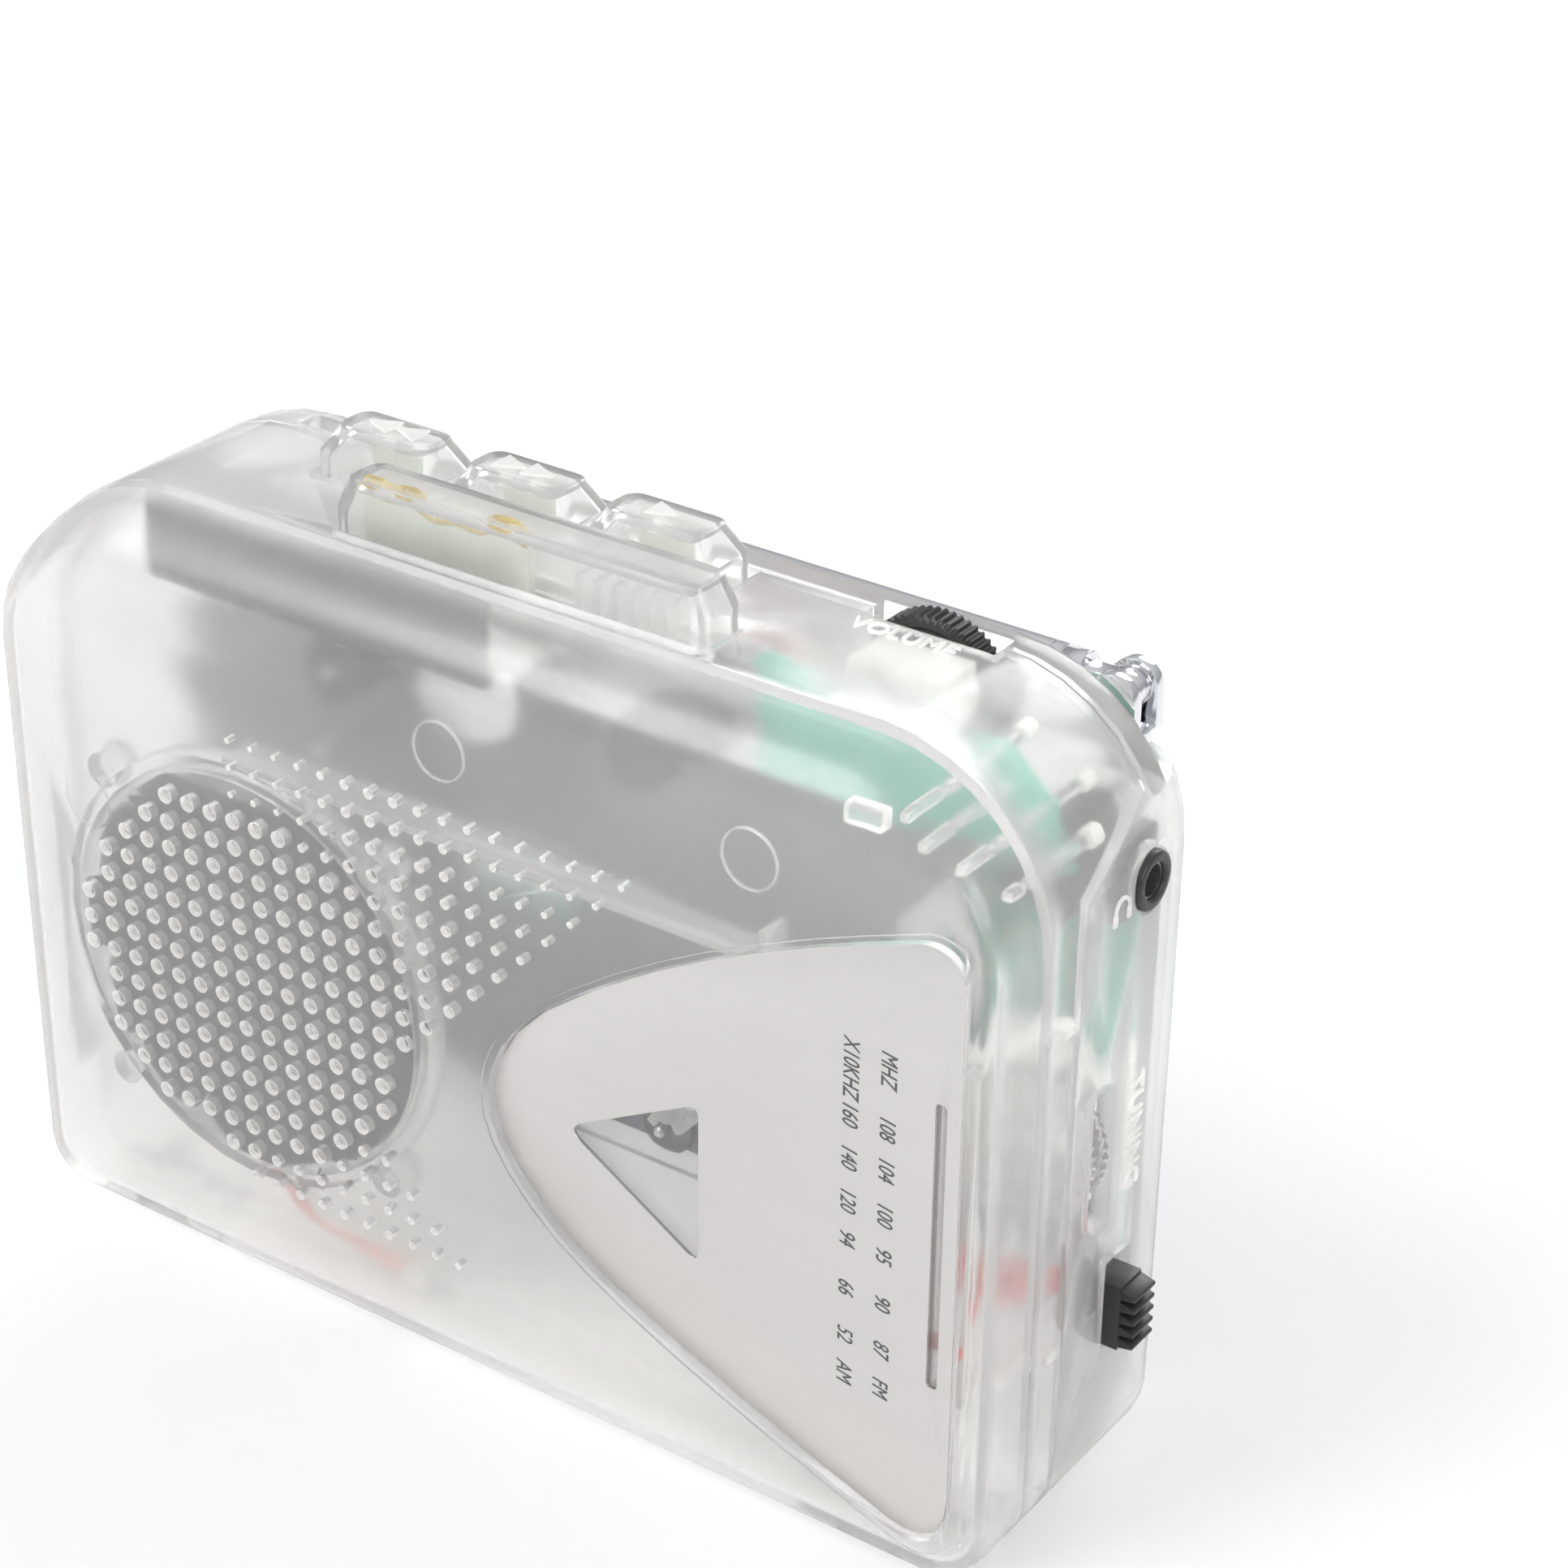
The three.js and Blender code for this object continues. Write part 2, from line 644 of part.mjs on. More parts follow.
function deckChassis() {
  const plate = slabY(
    rounded([
      [-54, DECK.bottom, 2],
      [43, DECK.bottom, 2],
      [43, DECK.top, 2],
      [-37, DECK.top, 0],
      [-37, 73.6, 2],
      [-54, 73.6, 2],
    ]),
    DECK.front,
    DECK.front + DECK.thick,
  );
  const posts = SCREWS.filter(({ seat }) => seat < 10).map(({ x, z }) =>
    bar("y", 2.4, DECK.front + DECK.thick / 2, 7.7, [x, z], 12),
  );
  const holes = [
    ...SCREWS.map(({ x, z }) => bar("y", 1.25, 0, 10, [x, z], 10)),
    ...hubs.map((x) => bar("y", 1.7, 0, 10, [x, HUB_Z], 12)),
    bar("y", 1.6, 0, 10, [FLYWHEEL.x, FLYWHEEL.z], 12),
    slabY(rectangle(-16, -2, 40, 48, 2), 0, 10),
  ];
  return cut(join(plate, ...posts), ...holes);
}

// A reel spindle: a drive crown in the hub, a table before the deck and a gear behind it.
function spindle(x) {
  const fins = [0, 60, 120].map((turn) => {
    const fin = new THREE.BoxGeometry(7, 5.4, 1);
    fin.rotateY((turn * Math.PI) / 180);
    fin.translate(x, -3.2, HUB_Z);
    return solidOf(fin);
  });
  return join(
    bar("y", 1.3, -6.6, 6.4, [x, HUB_Z], 8),
    bar("y", 2.4, -6, 1.4, [x, HUB_Z], 12),
    bar("y", 6.2, 1.3, 2.5, [x, HUB_Z], 24),
    slabY(toothed(x, HUB_Z, 8, 0.8, 18), 5.3, 6.3),
    ...fins,
  );
}

addPart("deck_chassis", deckChassis(), "deck");
addPart("takeup_spindle", spindle(hubs[0]), "white");
addPart("supply_spindle", spindle(hubs[1]), "white");

{
  const { x, z, radius, front, thick } = FLYWHEEL;
  const back = front + thick;
  const wheel = [
    [1.3, front],
    [radius, front],
    [radius, back],
    [radius - 2.2, back],
    [radius - 2.6, back - 0.8],
    [4, back - 0.8],
    [3.4, back],
    [1.3, back],
  ];
  wheel.push(wheel[0]);
  addPart("flywheel", turned(wheel, x, z, 28), "deck");
  addPart("capstan", bar("y", 1, -8.6, back + 1, [x, z], 12), "chrome");

  const hub = bar("y", MOTOR.pulley, BELT.front - 0.6, BELT.back + 0.1, [MOTOR.x, MOTOR.z], 18);
  const shaft = bar("y", 0.8, BELT.front - 1, MOTOR.front + 2.6, [MOTOR.x, MOTOR.z], 10);
  addPart("motor_pulley", join(hub, shaft), "brass");
  const can = join(
    bar("y", MOTOR.radius, MOTOR.front, 16.4, [MOTOR.x, MOTOR.z], 28),
    bar("y", 3, MOTOR.front - 0.1, MOTOR.front + 1, [MOTOR.x, MOTOR.z], 16),
  );
  addPart("drive_motor", cut(can, bar("y", 1.2, 0, MOTOR.front + 3, [MOTOR.x, MOTOR.z], 12)), "steel");
}

// The belt's inner or outer line: two arcs joined by straight runs.
function beltLine(grow) {
  const large = FLYWHEEL.radius + GAP + grow;
  const small = MOTOR.pulley + GAP + grow;
  const dx = MOTOR.x - FLYWHEEL.x;
  const dz = MOTOR.z - FLYWHEEL.z;
  const heading = Math.atan2(dz, dx);
  const spread = Math.acos((large - small) / Math.hypot(dx, dz));
  const shape = new THREE.Shape();
  shape.absarc(FLYWHEEL.x, FLYWHEEL.z, large, heading + spread, heading - spread + 2 * Math.PI, false);
  shape.absarc(MOTOR.x, MOTOR.z, small, heading - spread, heading + spread, false);
  shape.closePath();
  return shape;
}

{
  const outer = slabY(beltLine(BELT.thick), BELT.front, BELT.back, 9);
  addPart("drive_belt", cut(outer, slabY(beltLine(0), 0, FAR, 9)), "rubber");
}

// ---- Head plate with its heads and the pinch roller, which move down with the play key ----

{
  const y = CASSETTE.midDepth;
  const plate = slabY(rectangle(-33, 22, 67.2, 76.4, 1.5), HEAD_PLATE_FRONT, HEAD_PLATE_FRONT + 0.8);
  const rollerZ = FLYWHEEL.z + 1 + 3.5 + KEY_TRAVEL + 0.4;
  const pin = bar("y", 0.8, y - 4.3, HEAD_PLATE_FRONT + 0.4, [FLYWHEEL.x, rollerZ], 10);
  addPart("head_plate", join(plate, pin), "steel");
  const roller = bar("y", 3.5, y - 3.6, y + 3.6, [FLYWHEEL.x, rollerZ], 24);
  addPart("pinch_roller", cut(roller, bar("y", 1.1, -FAR, FAR, [FLYWHEEL.x, rollerZ], 12)), "rubber");
  const head = rounded([
    [-12, 75, 0.6],
    [-12, 68.4, 2.4],
    [-6, 66.4, 3],
    [0, 68.4, 2.4],
    [0, 75, 0.6],
  ]);
  addPart("tape_head", slabY(head, y - 5, HEAD_PLATE_FRONT - GAP), "chrome");
  const eraser = rounded([
    [10, 73, 0.6],
    [10, 68, 1.4],
    [13.5, 66.9, 1.6],
    [17, 68, 1.4],
    [17, 73, 0.6],
  ]);
  addPart("erase_head", slabY(eraser, y - 4, HEAD_PLATE_FRONT - GAP), "black");
}

// ---- Boards and what is on them ----

{
  const outline = rounded([
    [-53, 19.6, 1],
    [54.5, 19.6, 1],
    [54.5, 61.5, 1],
    [28, 61.5, 1],
    [28, 38, 1],
    [-30, 38, 1],
    [-44, 31, 1],
    [-53, 31, 1],
  ]);
  const wells = SCREWS.map(({ x, z }) => bar("y", WELL.outer + 0.5, 0, FAR, [x, z], 16));
  addPart("main_board", cut(slabY(outline, 11.6, 12.8), ...wells), "board");
  const tuner = rounded([
    [23, 69.4, 0.8],
    [55.6, 69.4, 0.8],
    [53.4, 75, 0.8],
    [48.6, 79.4, 0.8],
    [23, 79.4, 0.8],
  ]);
  addPart("tuner_board", slabY(tuner, -1.2, 0), "board");
}

{
  const centre = [30.6, 8.2];
  addPart("ferrite_rod", bar("z", 2.2, 21, 66, centre, 14), "ferrite");
  const coil = cut(bar("z", 2.9, 44, 62, centre, 16), bar("z", 2.5, 0, FAR, centre, 16));
  addPart("aerial_coil", coil, "copper");
}

// ---- Controls ----

addPart("volume_wheel", fingerWheel(VOLUME, 1.8), "black");
{
  const box = block(30.4, 41, 1.2, 6.3, 72.4, 81.2);
  const shaft = bar("y", 1.4, 6, VOLUME.back, [VOLUME.x, VOLUME.z], 12);
  addPart("volume_control", join(box, shaft), "white");
}

addPart("tuning_wheel", fingerWheel(TUNING, 1.8), "clear");
{
  const box = block(46.2, 57.4, 3.2, 11.2, 32, 46);
  const shaft = bar("y", 1.4, TUNING.front, 3.4, [TUNING.x, TUNING.z], 12);
  addPart("tuning_capacitor", join(box, shaft), "white");
}
{
  const needle = block(53.2, 56.4, -16.7, -15.9, POINTER_Z - 0.5, POINTER_Z + 0.5);
  const arm = block(53.2, 54.2, -16, -4, POINTER_Z - 0.5, POINTER_Z + 0.5);
  const carriage = block(51.8, 55.6, -5.4, -2.4, POINTER_Z - 1.4, POINTER_Z + 1.4);
  addPart("dial_pointer", join(needle, arm, carriage), "red");
}

{
  const { front, back, bottom, top } = SLIDER;
  let knob = slabX(rectangle(front, back, bottom, top, 0.5), 57.2, 63.2);
  for (let z = bottom + 1; z < top - 0.5; z += 1.2) knob = cut(knob, block(62.5, 64, 0, 10, z, z + 0.6));
  addPart("band_switch_knob", knob, "black");
  addPart("band_switch_body", block(50, 56.9, 2.4, 8.8, 19.3, 29.5), "steel");
}

{
  const body = join(
    block(47.6, 57.4, 3.4, 10.9, 62.2, 69.8),
    bar("x", JACK.ring, 57, 60.3, [JACK.y, JACK.z], 24),
  );
  addPart("headphone_jack", cut(body, bar("x", JACK.hole, 49, FAR, [JACK.y, JACK.z], 16)), "black");
  const inlet = block(-34, -27.7, 8.8, RECESS.front - 1.8, 73.6, 79.6);
  addPart("power_inlet", cut(inlet, bar("y", 1.7, 9.3, FAR, [-30.85, 76.6], 16)), "black");
}

// ---- Telescopic antenna ----

{
  const { y, z, pivot } = ANTENNA;
  const floor = RECESS.floor;
  const ears = join(
    bar("y", 2.6, y - 2.7, y + 2.7, [pivot, z], 20),
    block(pivot - 2.6, pivot + 2.6, y - 2.7, y + 2.7, 75, z),
  );
  const slot = block(pivot - 5, pivot + 5, y - 1.45, y + 1.45, 75.3, FAR);
  const base = join(
    cut(ears, slot),
    bar("z", 2.7, floor + GAP, 75.3, [pivot, y], 20),
    bar("z", 1.5, floor - 1.4, floor + 1, [pivot, y], 12),
    bar("y", 0.9, y - 2.6, y + 2.6, [pivot, z], 12),
  );
  addPart("antenna_base", base, "chrome");
}

// One tube along X: closed at its inner end, with a bore open at the outer end.
function tube({ radius, bore, inner, end }) {
  const { y, z } = ANTENNA;
  return cut(bar("x", radius, end, inner, [y, z], 20), bar("x", bore, -FAR, inner - 0.4, [y, z], 20));
}

TUBES.forEach((section, i) => {
  let solid = tube(section);
  if (i === 0) {
    const { y, z, pivot } = ANTENNA;
    const collar = bar("x", 2.7, section.inner - 0.2, 47, [y, z], 20);
    const tongue = join(
      block(46.5, pivot, y - 1.15, y + 1.15, z - 1.6, z + 1.6),
      bar("y", 2, y - 1.15, y + 1.15, [pivot, z]),
    );
    solid = cut(join(solid, collar, tongue), bar("y", 1.15, -FAR, FAR, [pivot, z], 14));
  }
  addPart(section.name, solid, "chrome");
});
{
  const across = [ANTENNA.y, ANTENNA.z];
  const rod = bar("x", ROD.radius, ROD.end - 1, ROD.inner, across, 12);
  addPart("antenna_rod", join(rod, bar("x", ROD.cap, ROD.capEnd, ROD.end, across, 20)), "chrome");
}

export default player;
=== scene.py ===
import json
import math
import random

import bmesh
import bpy
from mathutils import Matrix, Vector
from mathutils.bvhtree import BVHTree

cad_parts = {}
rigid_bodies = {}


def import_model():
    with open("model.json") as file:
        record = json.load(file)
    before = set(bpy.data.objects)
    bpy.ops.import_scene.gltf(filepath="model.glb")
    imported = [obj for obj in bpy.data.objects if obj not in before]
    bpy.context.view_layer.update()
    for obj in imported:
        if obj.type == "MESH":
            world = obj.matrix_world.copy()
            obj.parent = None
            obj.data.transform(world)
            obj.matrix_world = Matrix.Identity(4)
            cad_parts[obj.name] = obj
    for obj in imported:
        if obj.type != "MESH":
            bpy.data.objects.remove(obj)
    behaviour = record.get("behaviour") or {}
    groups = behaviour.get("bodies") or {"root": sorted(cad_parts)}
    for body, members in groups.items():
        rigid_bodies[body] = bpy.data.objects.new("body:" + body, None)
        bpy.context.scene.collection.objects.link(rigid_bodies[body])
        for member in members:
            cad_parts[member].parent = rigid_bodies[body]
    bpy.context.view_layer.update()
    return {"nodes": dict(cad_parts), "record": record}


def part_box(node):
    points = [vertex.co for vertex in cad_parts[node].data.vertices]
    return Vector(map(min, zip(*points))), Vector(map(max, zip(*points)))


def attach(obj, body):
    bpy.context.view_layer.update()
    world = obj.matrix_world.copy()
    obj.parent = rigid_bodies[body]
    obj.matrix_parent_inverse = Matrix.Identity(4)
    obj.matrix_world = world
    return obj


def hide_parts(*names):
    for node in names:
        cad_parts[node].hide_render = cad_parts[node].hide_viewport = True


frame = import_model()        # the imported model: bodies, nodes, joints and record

MM = 0.001
X, Y, Z = Vector((1, 0, 0)), Vector((0, 1, 0)), Vector((0, 0, 1))
BODY_OF = {node: body for body, nodes in frame["record"]["behaviour"]["bodies"].items() for node in nodes}
SLOT_OF = {part["node"]: part["material_slot"] for part in frame["record"]["subparts"]}


def mm(*values):
    return Vector([value * MM for value in values])


def centre(node):
    low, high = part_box(node)
    return (low + high) / 2


# ---- Materials ----

def noise(tree, scale, detail, stretch=(1, 1, 1)):
    """The output of a noise texture in the object's own coordinates, finer where stretch is larger."""
    coordinates = tree.nodes.new("ShaderNodeTexCoord")
    mapping = tree.nodes.new("ShaderNodeMapping")
    mapping.inputs["Scale"].default_value = stretch
    texture = tree.nodes.new("ShaderNodeTexNoise")
    texture.inputs["Scale"].default_value = scale
    texture.inputs["Detail"].default_value = detail
    tree.links.new(coordinates.outputs["Object"], mapping.inputs["Vector"])
    tree.links.new(mapping.outputs["Vector"], texture.inputs["Vector"])
    return texture.outputs["Fac"]


def spread(tree, value, low, high):
    node = tree.nodes.new("ShaderNodeMapRange")
    node.inputs["From Min"].default_value = 0.3
    node.inputs["From Max"].default_value = 0.7
    node.inputs["To Min"].default_value = low
    node.inputs["To Max"].default_value = high
    tree.links.new(value, node.inputs["Value"])
    return node.outputs["Result"]


def blend_colours(tree, value, low, high):
    node = tree.nodes.new("ShaderNodeMix")
    node.data_type = "RGBA"
    node.inputs["A"].default_value = (*low, 1)
    node.inputs["B"].default_value = (*high, 1)
    tree.links.new(value, node.inputs["Factor"])
    return node.outputs["Result"]


def finish(name, colour, roughness, metallic=0.0, shade=0.06, span=0.06, patch=220, grain=2500, bump=0.12,
           relief=0.02, stretch=(1, 1, 1), **sockets):
    """A material whose colour and roughness drift in patches, with a fine grain in relief."""
    material = bpy.data.materials.new(name)
    material.use_nodes = True
    tree = material.node_tree
    shader = tree.nodes["Principled BSDF"]
    shader.inputs["Metallic"].default_value = metallic
    for socket, value in sockets.items():
        shader.inputs[socket.replace("_", " ")].default_value = value
    patches = noise(tree, patch, 3, stretch)
    dark = [c * (1 - shade) for c in colour]
    light = [min(1, c * (1 + shade)) for c in colour]
    colours = blend_colours(tree, spread(tree, patches, 0, 1), dark, light)
    tree.links.new(colours, shader.inputs["Base Color"])
    fine = noise(tree, grain, 4, stretch)
    glossy, matt = max(roughness - span, 0.02), min(roughness + span, 1)
    tree.links.new(spread(tree, fine, glossy, matt), shader.inputs["Roughness"])
    relief_node = tree.nodes.new("ShaderNodeBump")
    relief_node.inputs["Strength"].default_value = bump
    relief_node.inputs["Distance"].default_value = relief * MM
    tree.links.new(fine, relief_node.inputs["Height"])
    tree.links.new(relief_node.outputs["Normal"], shader.inputs["Normal"])
    return material


def see_through(material, share, milk, tint=(0.9, 0.885, 0.87)):
    """Lets that share of the lamps' light through, so that what lies behind the surface is lit, and mixes in
    milk, the share of light that the plastic scatters on."""
    tree = material.node_tree
    shader, output = tree.nodes["Principled BSDF"], tree.nodes["Material Output"]
    haze = tree.nodes.new("ShaderNodeBsdfTranslucent")
    haze.inputs["Color"].default_value = (*tint, 1)
    milky = tree.nodes.new("ShaderNodeMixShader")
    milky.inputs[0].default_value = milk
    tree.links.new(shader.outputs[0], milky.inputs[1])
    tree.links.new(haze.outputs[0], milky.inputs[2])
    path = tree.nodes.new("ShaderNodeLightPath")
    clear = tree.nodes.new("ShaderNodeBsdfTransparent")
    clear.inputs["Color"].default_value = (share, share, share, 1)
    mix = tree.nodes.new("ShaderNodeMixShader")
    tree.links.new(path.outputs["Is Shadow Ray"], mix.inputs[0])
    tree.links.new(milky.outputs[0], mix.inputs[1])
    tree.links.new(clear.outputs[0], mix.inputs[2])
    tree.links.new(mix.outputs[0], output.inputs["Surface"])
    return material


FROST = {"Transmission_Weight": 0.91, "IOR": 1.42, "Specular_IOR_Level": 0.5}
LOOKS = {
    "clear": see_through(finish("frosted_plastic", (0.985, 0.977, 0.962), 0.21, span=0.03, shade=0.012,
                                patch=60, grain=700, bump=0.03, relief=0.01, **FROST), 0.88, 0.09),
    "plate": finish("brushed_plate", (0.71, 0.69, 0.665), 0.4, 1.0, shade=0.012, span=0.04, patch=40,
                    grain=900, bump=0.08, relief=0.01, stretch=(1, 1, 8)),
    "steel": finish("satin_steel", (0.55, 0.56, 0.57), 0.34, 1.0),
    "deck": finish("dark_deck", (0.21, 0.212, 0.238), 0.45, 0.3, shade=0.12),
    "chrome": finish("chrome", (0.8, 0.81, 0.83), 0.08, 1.0, shade=0.02, span=0.02, bump=0.004),
    "brass": finish("turned_brass", (0.62, 0.42, 0.2), 0.3, 1.0, shade=0.1),
    "board": finish("board_green", (0.07, 0.4, 0.3), 0.42, shade=0.16, patch=160),
    "black": finish("black_plastic", (0.022, 0.02, 0.021), 0.42, shade=0.2, bump=0.3),
    "rubber": finish("rubber", (0.018, 0.018, 0.018), 0.75, shade=0.2, bump=0.4),
    "cone": finish("grey_paper", (0.33, 0.33, 0.36), 0.8, shade=0.12, patch=500, bump=0.5, relief=0.05),
    "ferrite": finish("ferrite", (0.06, 0.055, 0.052), 0.55, shade=0.25),
    "copper": finish("copper_winding", (0.5, 0.2, 0.09), 0.35, 1.0, shade=0.15, grain=300, stretch=(1, 1, 12),
                     bump=0.6),
    "white": finish("white_plastic", (0.78, 0.77, 0.74), 0.45),
    "red": finish("red_plastic", (0.62, 0.03, 0.025), 0.35),
}
KEY_PLASTIC = see_through(finish("clear_key_plastic", (0.96, 0.955, 0.945), 0.15, span=0.04, shade=0.015,
                                 patch=90, bump=0.02, Transmission_Weight=0.93, IOR=1.42), 0.88, 0.08)
EMBOSS = see_through(finish("raised_letters", (0.97, 0.965, 0.95), 0.2, span=0.03, shade=0.015, patch=90,
                            bump=0.02, Transmission_Weight=0.6, IOR=1.42), 0.88, 0.4, (0.98, 0.97, 0.96))
POLISHED = see_through(finish("polished_window", (0.96, 0.96, 0.955), 0.03, span=0.01, shade=0.01, patch=90,
                              grain=700, bump=0.01, Transmission_Weight=0.95, IOR=1.46), 0.9, 0.02)
DIAL_PANE = see_through(finish("milky_pane", (0.95, 0.94, 0.93), 0.12, span=0.02, shade=0.01, patch=90,
                               grain=700, bump=0.01, Transmission_Weight=0.74, IOR=1.42), 0.9, 0.05)
PRINT_GREY = finish("printed_grey", (0.09, 0.09, 0.095), 0.5, shade=0.1)
CLOTH = finish("speaker_cloth", (0.06, 0.06, 0.068), 0.9, shade=0.15, patch=300, grain=1800, bump=0.6,
               relief=0.05)
BROWN_BOARD = finish("brown_board", (0.34, 0.2, 0.1), 0.6, shade=0.15)
TRACE = finish("board_traces", (0.09, 0.33, 0.26), 0.35, shade=0.12)
BEIGE = finish("resistor_body", (0.62, 0.48, 0.31), 0.5, shade=0.08)
DARK_SHEET = finish("dark_sheet", (0.018, 0.02, 0.034), 0.5, shade=0.2)
DARK_METAL = finish("dark_metal", (0.12, 0.12, 0.13), 0.3, 1.0, shade=0.1)
GLUE = finish("yellow_glue", (0.55, 0.42, 0.09), 0.25, shade=0.25, patch=700, Transmission_Weight=0.25)
PINK = finish("pink_foam", (0.82, 0.42, 0.36), 0.8, shade=0.12, patch=900, bump=0.6, relief=0.1)
PALE_METAL = finish("pale_lever", (0.6, 0.64, 0.56), 0.45, 0.5, shade=0.08)
SOLDER = finish("solder", (0.7, 0.71, 0.72), 0.25, 1.0)
FLOOR = finish("floor_paper", (0.86, 0.86, 0.865), 0.9, shade=0.004, patch=3, grain=400, bump=0.02)


# ---- Making pieces ----

SHARP = 38  # degrees: an edge that turns by more is rounded, and shaded crisp


def add_object(name, mesh, body, slot, material):
    piece = bpy.data.objects.new(name, mesh)
    bpy.context.scene.collection.objects.link(piece)
    mesh.materials.clear()
    mesh.materials.append(material or LOOKS[slot])
    if body:
        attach(piece, body)
    return piece


def soften(mesh, angle=SHARP):
    mesh.polygons.foreach_set("use_smooth", [True] * len(mesh.polygons))
    mesh.set_sharp_from_angle(angle=math.radians(angle))


def round_edges(bm, width, segments=2):
    limit = math.radians(SHARP)
    edges = [e for e in bm.edges if len(e.link_faces) == 2 and e.calc_face_angle(0) > limit]
    bmesh.ops.bevel(bm, geom=edges, offset=width * MM, segments=segments, profile=0.5, affect="EDGES",
                    clamp_overlap=True)


def from_bmesh(name, bm, body, slot, material=None, angle=SHARP):
    mesh = bpy.data.meshes.new(name)
    bmesh.ops.dissolve_degenerate(bm, dist=1e-7, edges=bm.edges)
    bmesh.ops.recalc_face_normals(bm, faces=bm.faces)
    bm.to_mesh(mesh)
    bm.free()
    soften(mesh, angle)
    return add_object(name, mesh, body, slot, material)


def clean_copy(node):
    """The CAD node's surface with its flat faces whole."""
    bm = bmesh.new()
    bm.from_mesh(frame["nodes"][node].data)
    bmesh.ops.remove_doubles(bm, verts=bm.verts, dist=1e-6)
    bmesh.ops.dissolve_limit(bm, angle_limit=math.radians(0.4), verts=bm.verts, edges=bm.edges)
    return bm


def refine(node, width, material=None):
    """A piece of the CAD node's shape with rounded edges and smooth curves, in place of the node."""
    bm = clean_copy(node)
    round_edges(bm, width)
    piece = from_bmesh(node + "_fine", bm, BODY_OF[node], SLOT_OF[node], material)
    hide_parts(node)
    return piece


def carve(piece, cutters):
    """Cuts the cutters, joined in one bmesh, out of the piece."""
    mesh = bpy.data.meshes.new("cutters")
    cutters.to_mesh(mesh)
    cutters.free()
    tool = bpy.data.objects.new("cutters", mesh)
    bpy.context.scene.collection.objects.link(tool)
    modifier = piece.modifiers.new("carve", "BOOLEAN")
    modifier.operation = "DIFFERENCE"
    modifier.solver = "EXACT"
    modifier.object = tool
    graph = bpy.context.evaluated_depsgraph_get()
    carved = bpy.data.meshes.new_from_object(piece.evaluated_get(graph))
    piece.modifiers.clear()
    piece.data = carved
    bpy.data.objects.remove(tool)
    soften(carved)


def rod(bm, start, end, radius, sides):
    """Adds a round bar from start to end."""
    along = end - start
    turn = Z.rotation_difference(along.normalized()).to_matrix().to_4x4()
    place = Matrix.Translation((start + end) / 2) @ turn
    bmesh.ops.create_cone(bm, cap_ends=True, segments=sides, radius1=radius, radius2=radius,
                          depth=along.length, matrix=place)


def block(bm, low, high):
    place = Matrix.Translation((low + high) / 2) @ Matrix.Diagonal((*(high - low), 1))
    bmesh.ops.create_cube(bm, size=1, matrix=place)


def turned(bm, profile, origin, axis, sides=48):
    """Adds the solid of a closed profile of (radius, height) turned about an axis through origin."""
    turn = Z.rotation_difference(axis).to_matrix()
    rings = []
    for radius, height in profile:
        ring = []
        for i in range(sides):
            angle = 2 * math.pi * i / sides
            point = Vector((radius * math.cos(angle), radius * math.sin(angle), height))
            ring.append(bm.verts.new(origin + turn @ (point * MM)))
        rings.append(ring)
    for low, high in zip(rings, rings[1:] + rings[:1]):
        for i in range(sides):
            j = (i + 1) % sides
            bm.faces.new((low[i], low[j], high[j], high[i]))


def tube_along(bm, points, radius, sides=10, steps=8):
    """Adds a round strand through points, smoothed as a Catmull-Rom curve."""
    path = []
    ends = [2 * points[0] - points[1]] + list(points) + [2 * points[-1] - points[-2]]
    for a, b, c, d in zip(ends, ends[1:], ends[2:], ends[3:]):
        for i in range(steps):
            t = i / steps
            path.append(0.5 * (2 * b + (c - a) * t + (2 * a - 5 * b + 4 * c - d) * t * t
                               + (3 * b - a - 3 * c + d) * t ** 3))
    path.append(points[-1])
    side = Vector((0.3, 0.2, 0.93)).normalized()
    rings = []
    for i, point in enumerate(path):
        ahead = (path[min(i + 1, len(path) - 1)] - path[max(i - 1, 0)]).normalized()
        side = (side - side.dot(ahead) * ahead).normalized()
        other = ahead.cross(side)
        ring = []
        for k in range(sides):
            angle = 2 * math.pi * k / sides
            ring.append(bm.verts.new(point + radius * (math.cos(angle) * side + math.sin(angle) * other)))
        rings.append(ring)
    for low, high in zip(rings, rings[1:]):
        for i in range(sides):
            j = (i + 1) % sides
            bm.faces.new((low[i], low[j], high[j], high[i]))
    bm.faces.new(rings[0][::-1])
    bm.faces.new(rings[-1])


def outline_solid(bm, points, start, end, axis):
    """Adds a flat outline pushed along an axis; points are the other two coordinates, in millimetres."""
    def place(u, v, along):
        return mm(*{"x": (along, u, v), "y": (u, along, v), "z": (u, v, along)}[axis])

    low = [bm.verts.new(place(u, v, start)) for u, v in points]
    high = [bm.verts.new(place(u, v, end)) for u, v in points]
    bm.faces.new(low[::-1])
    bm.faces.new(high)
    for i in range(len(points)):
        j = (i + 1) % len(points)
        bm.faces.new((low[i], low[j], high[j], high[i]))


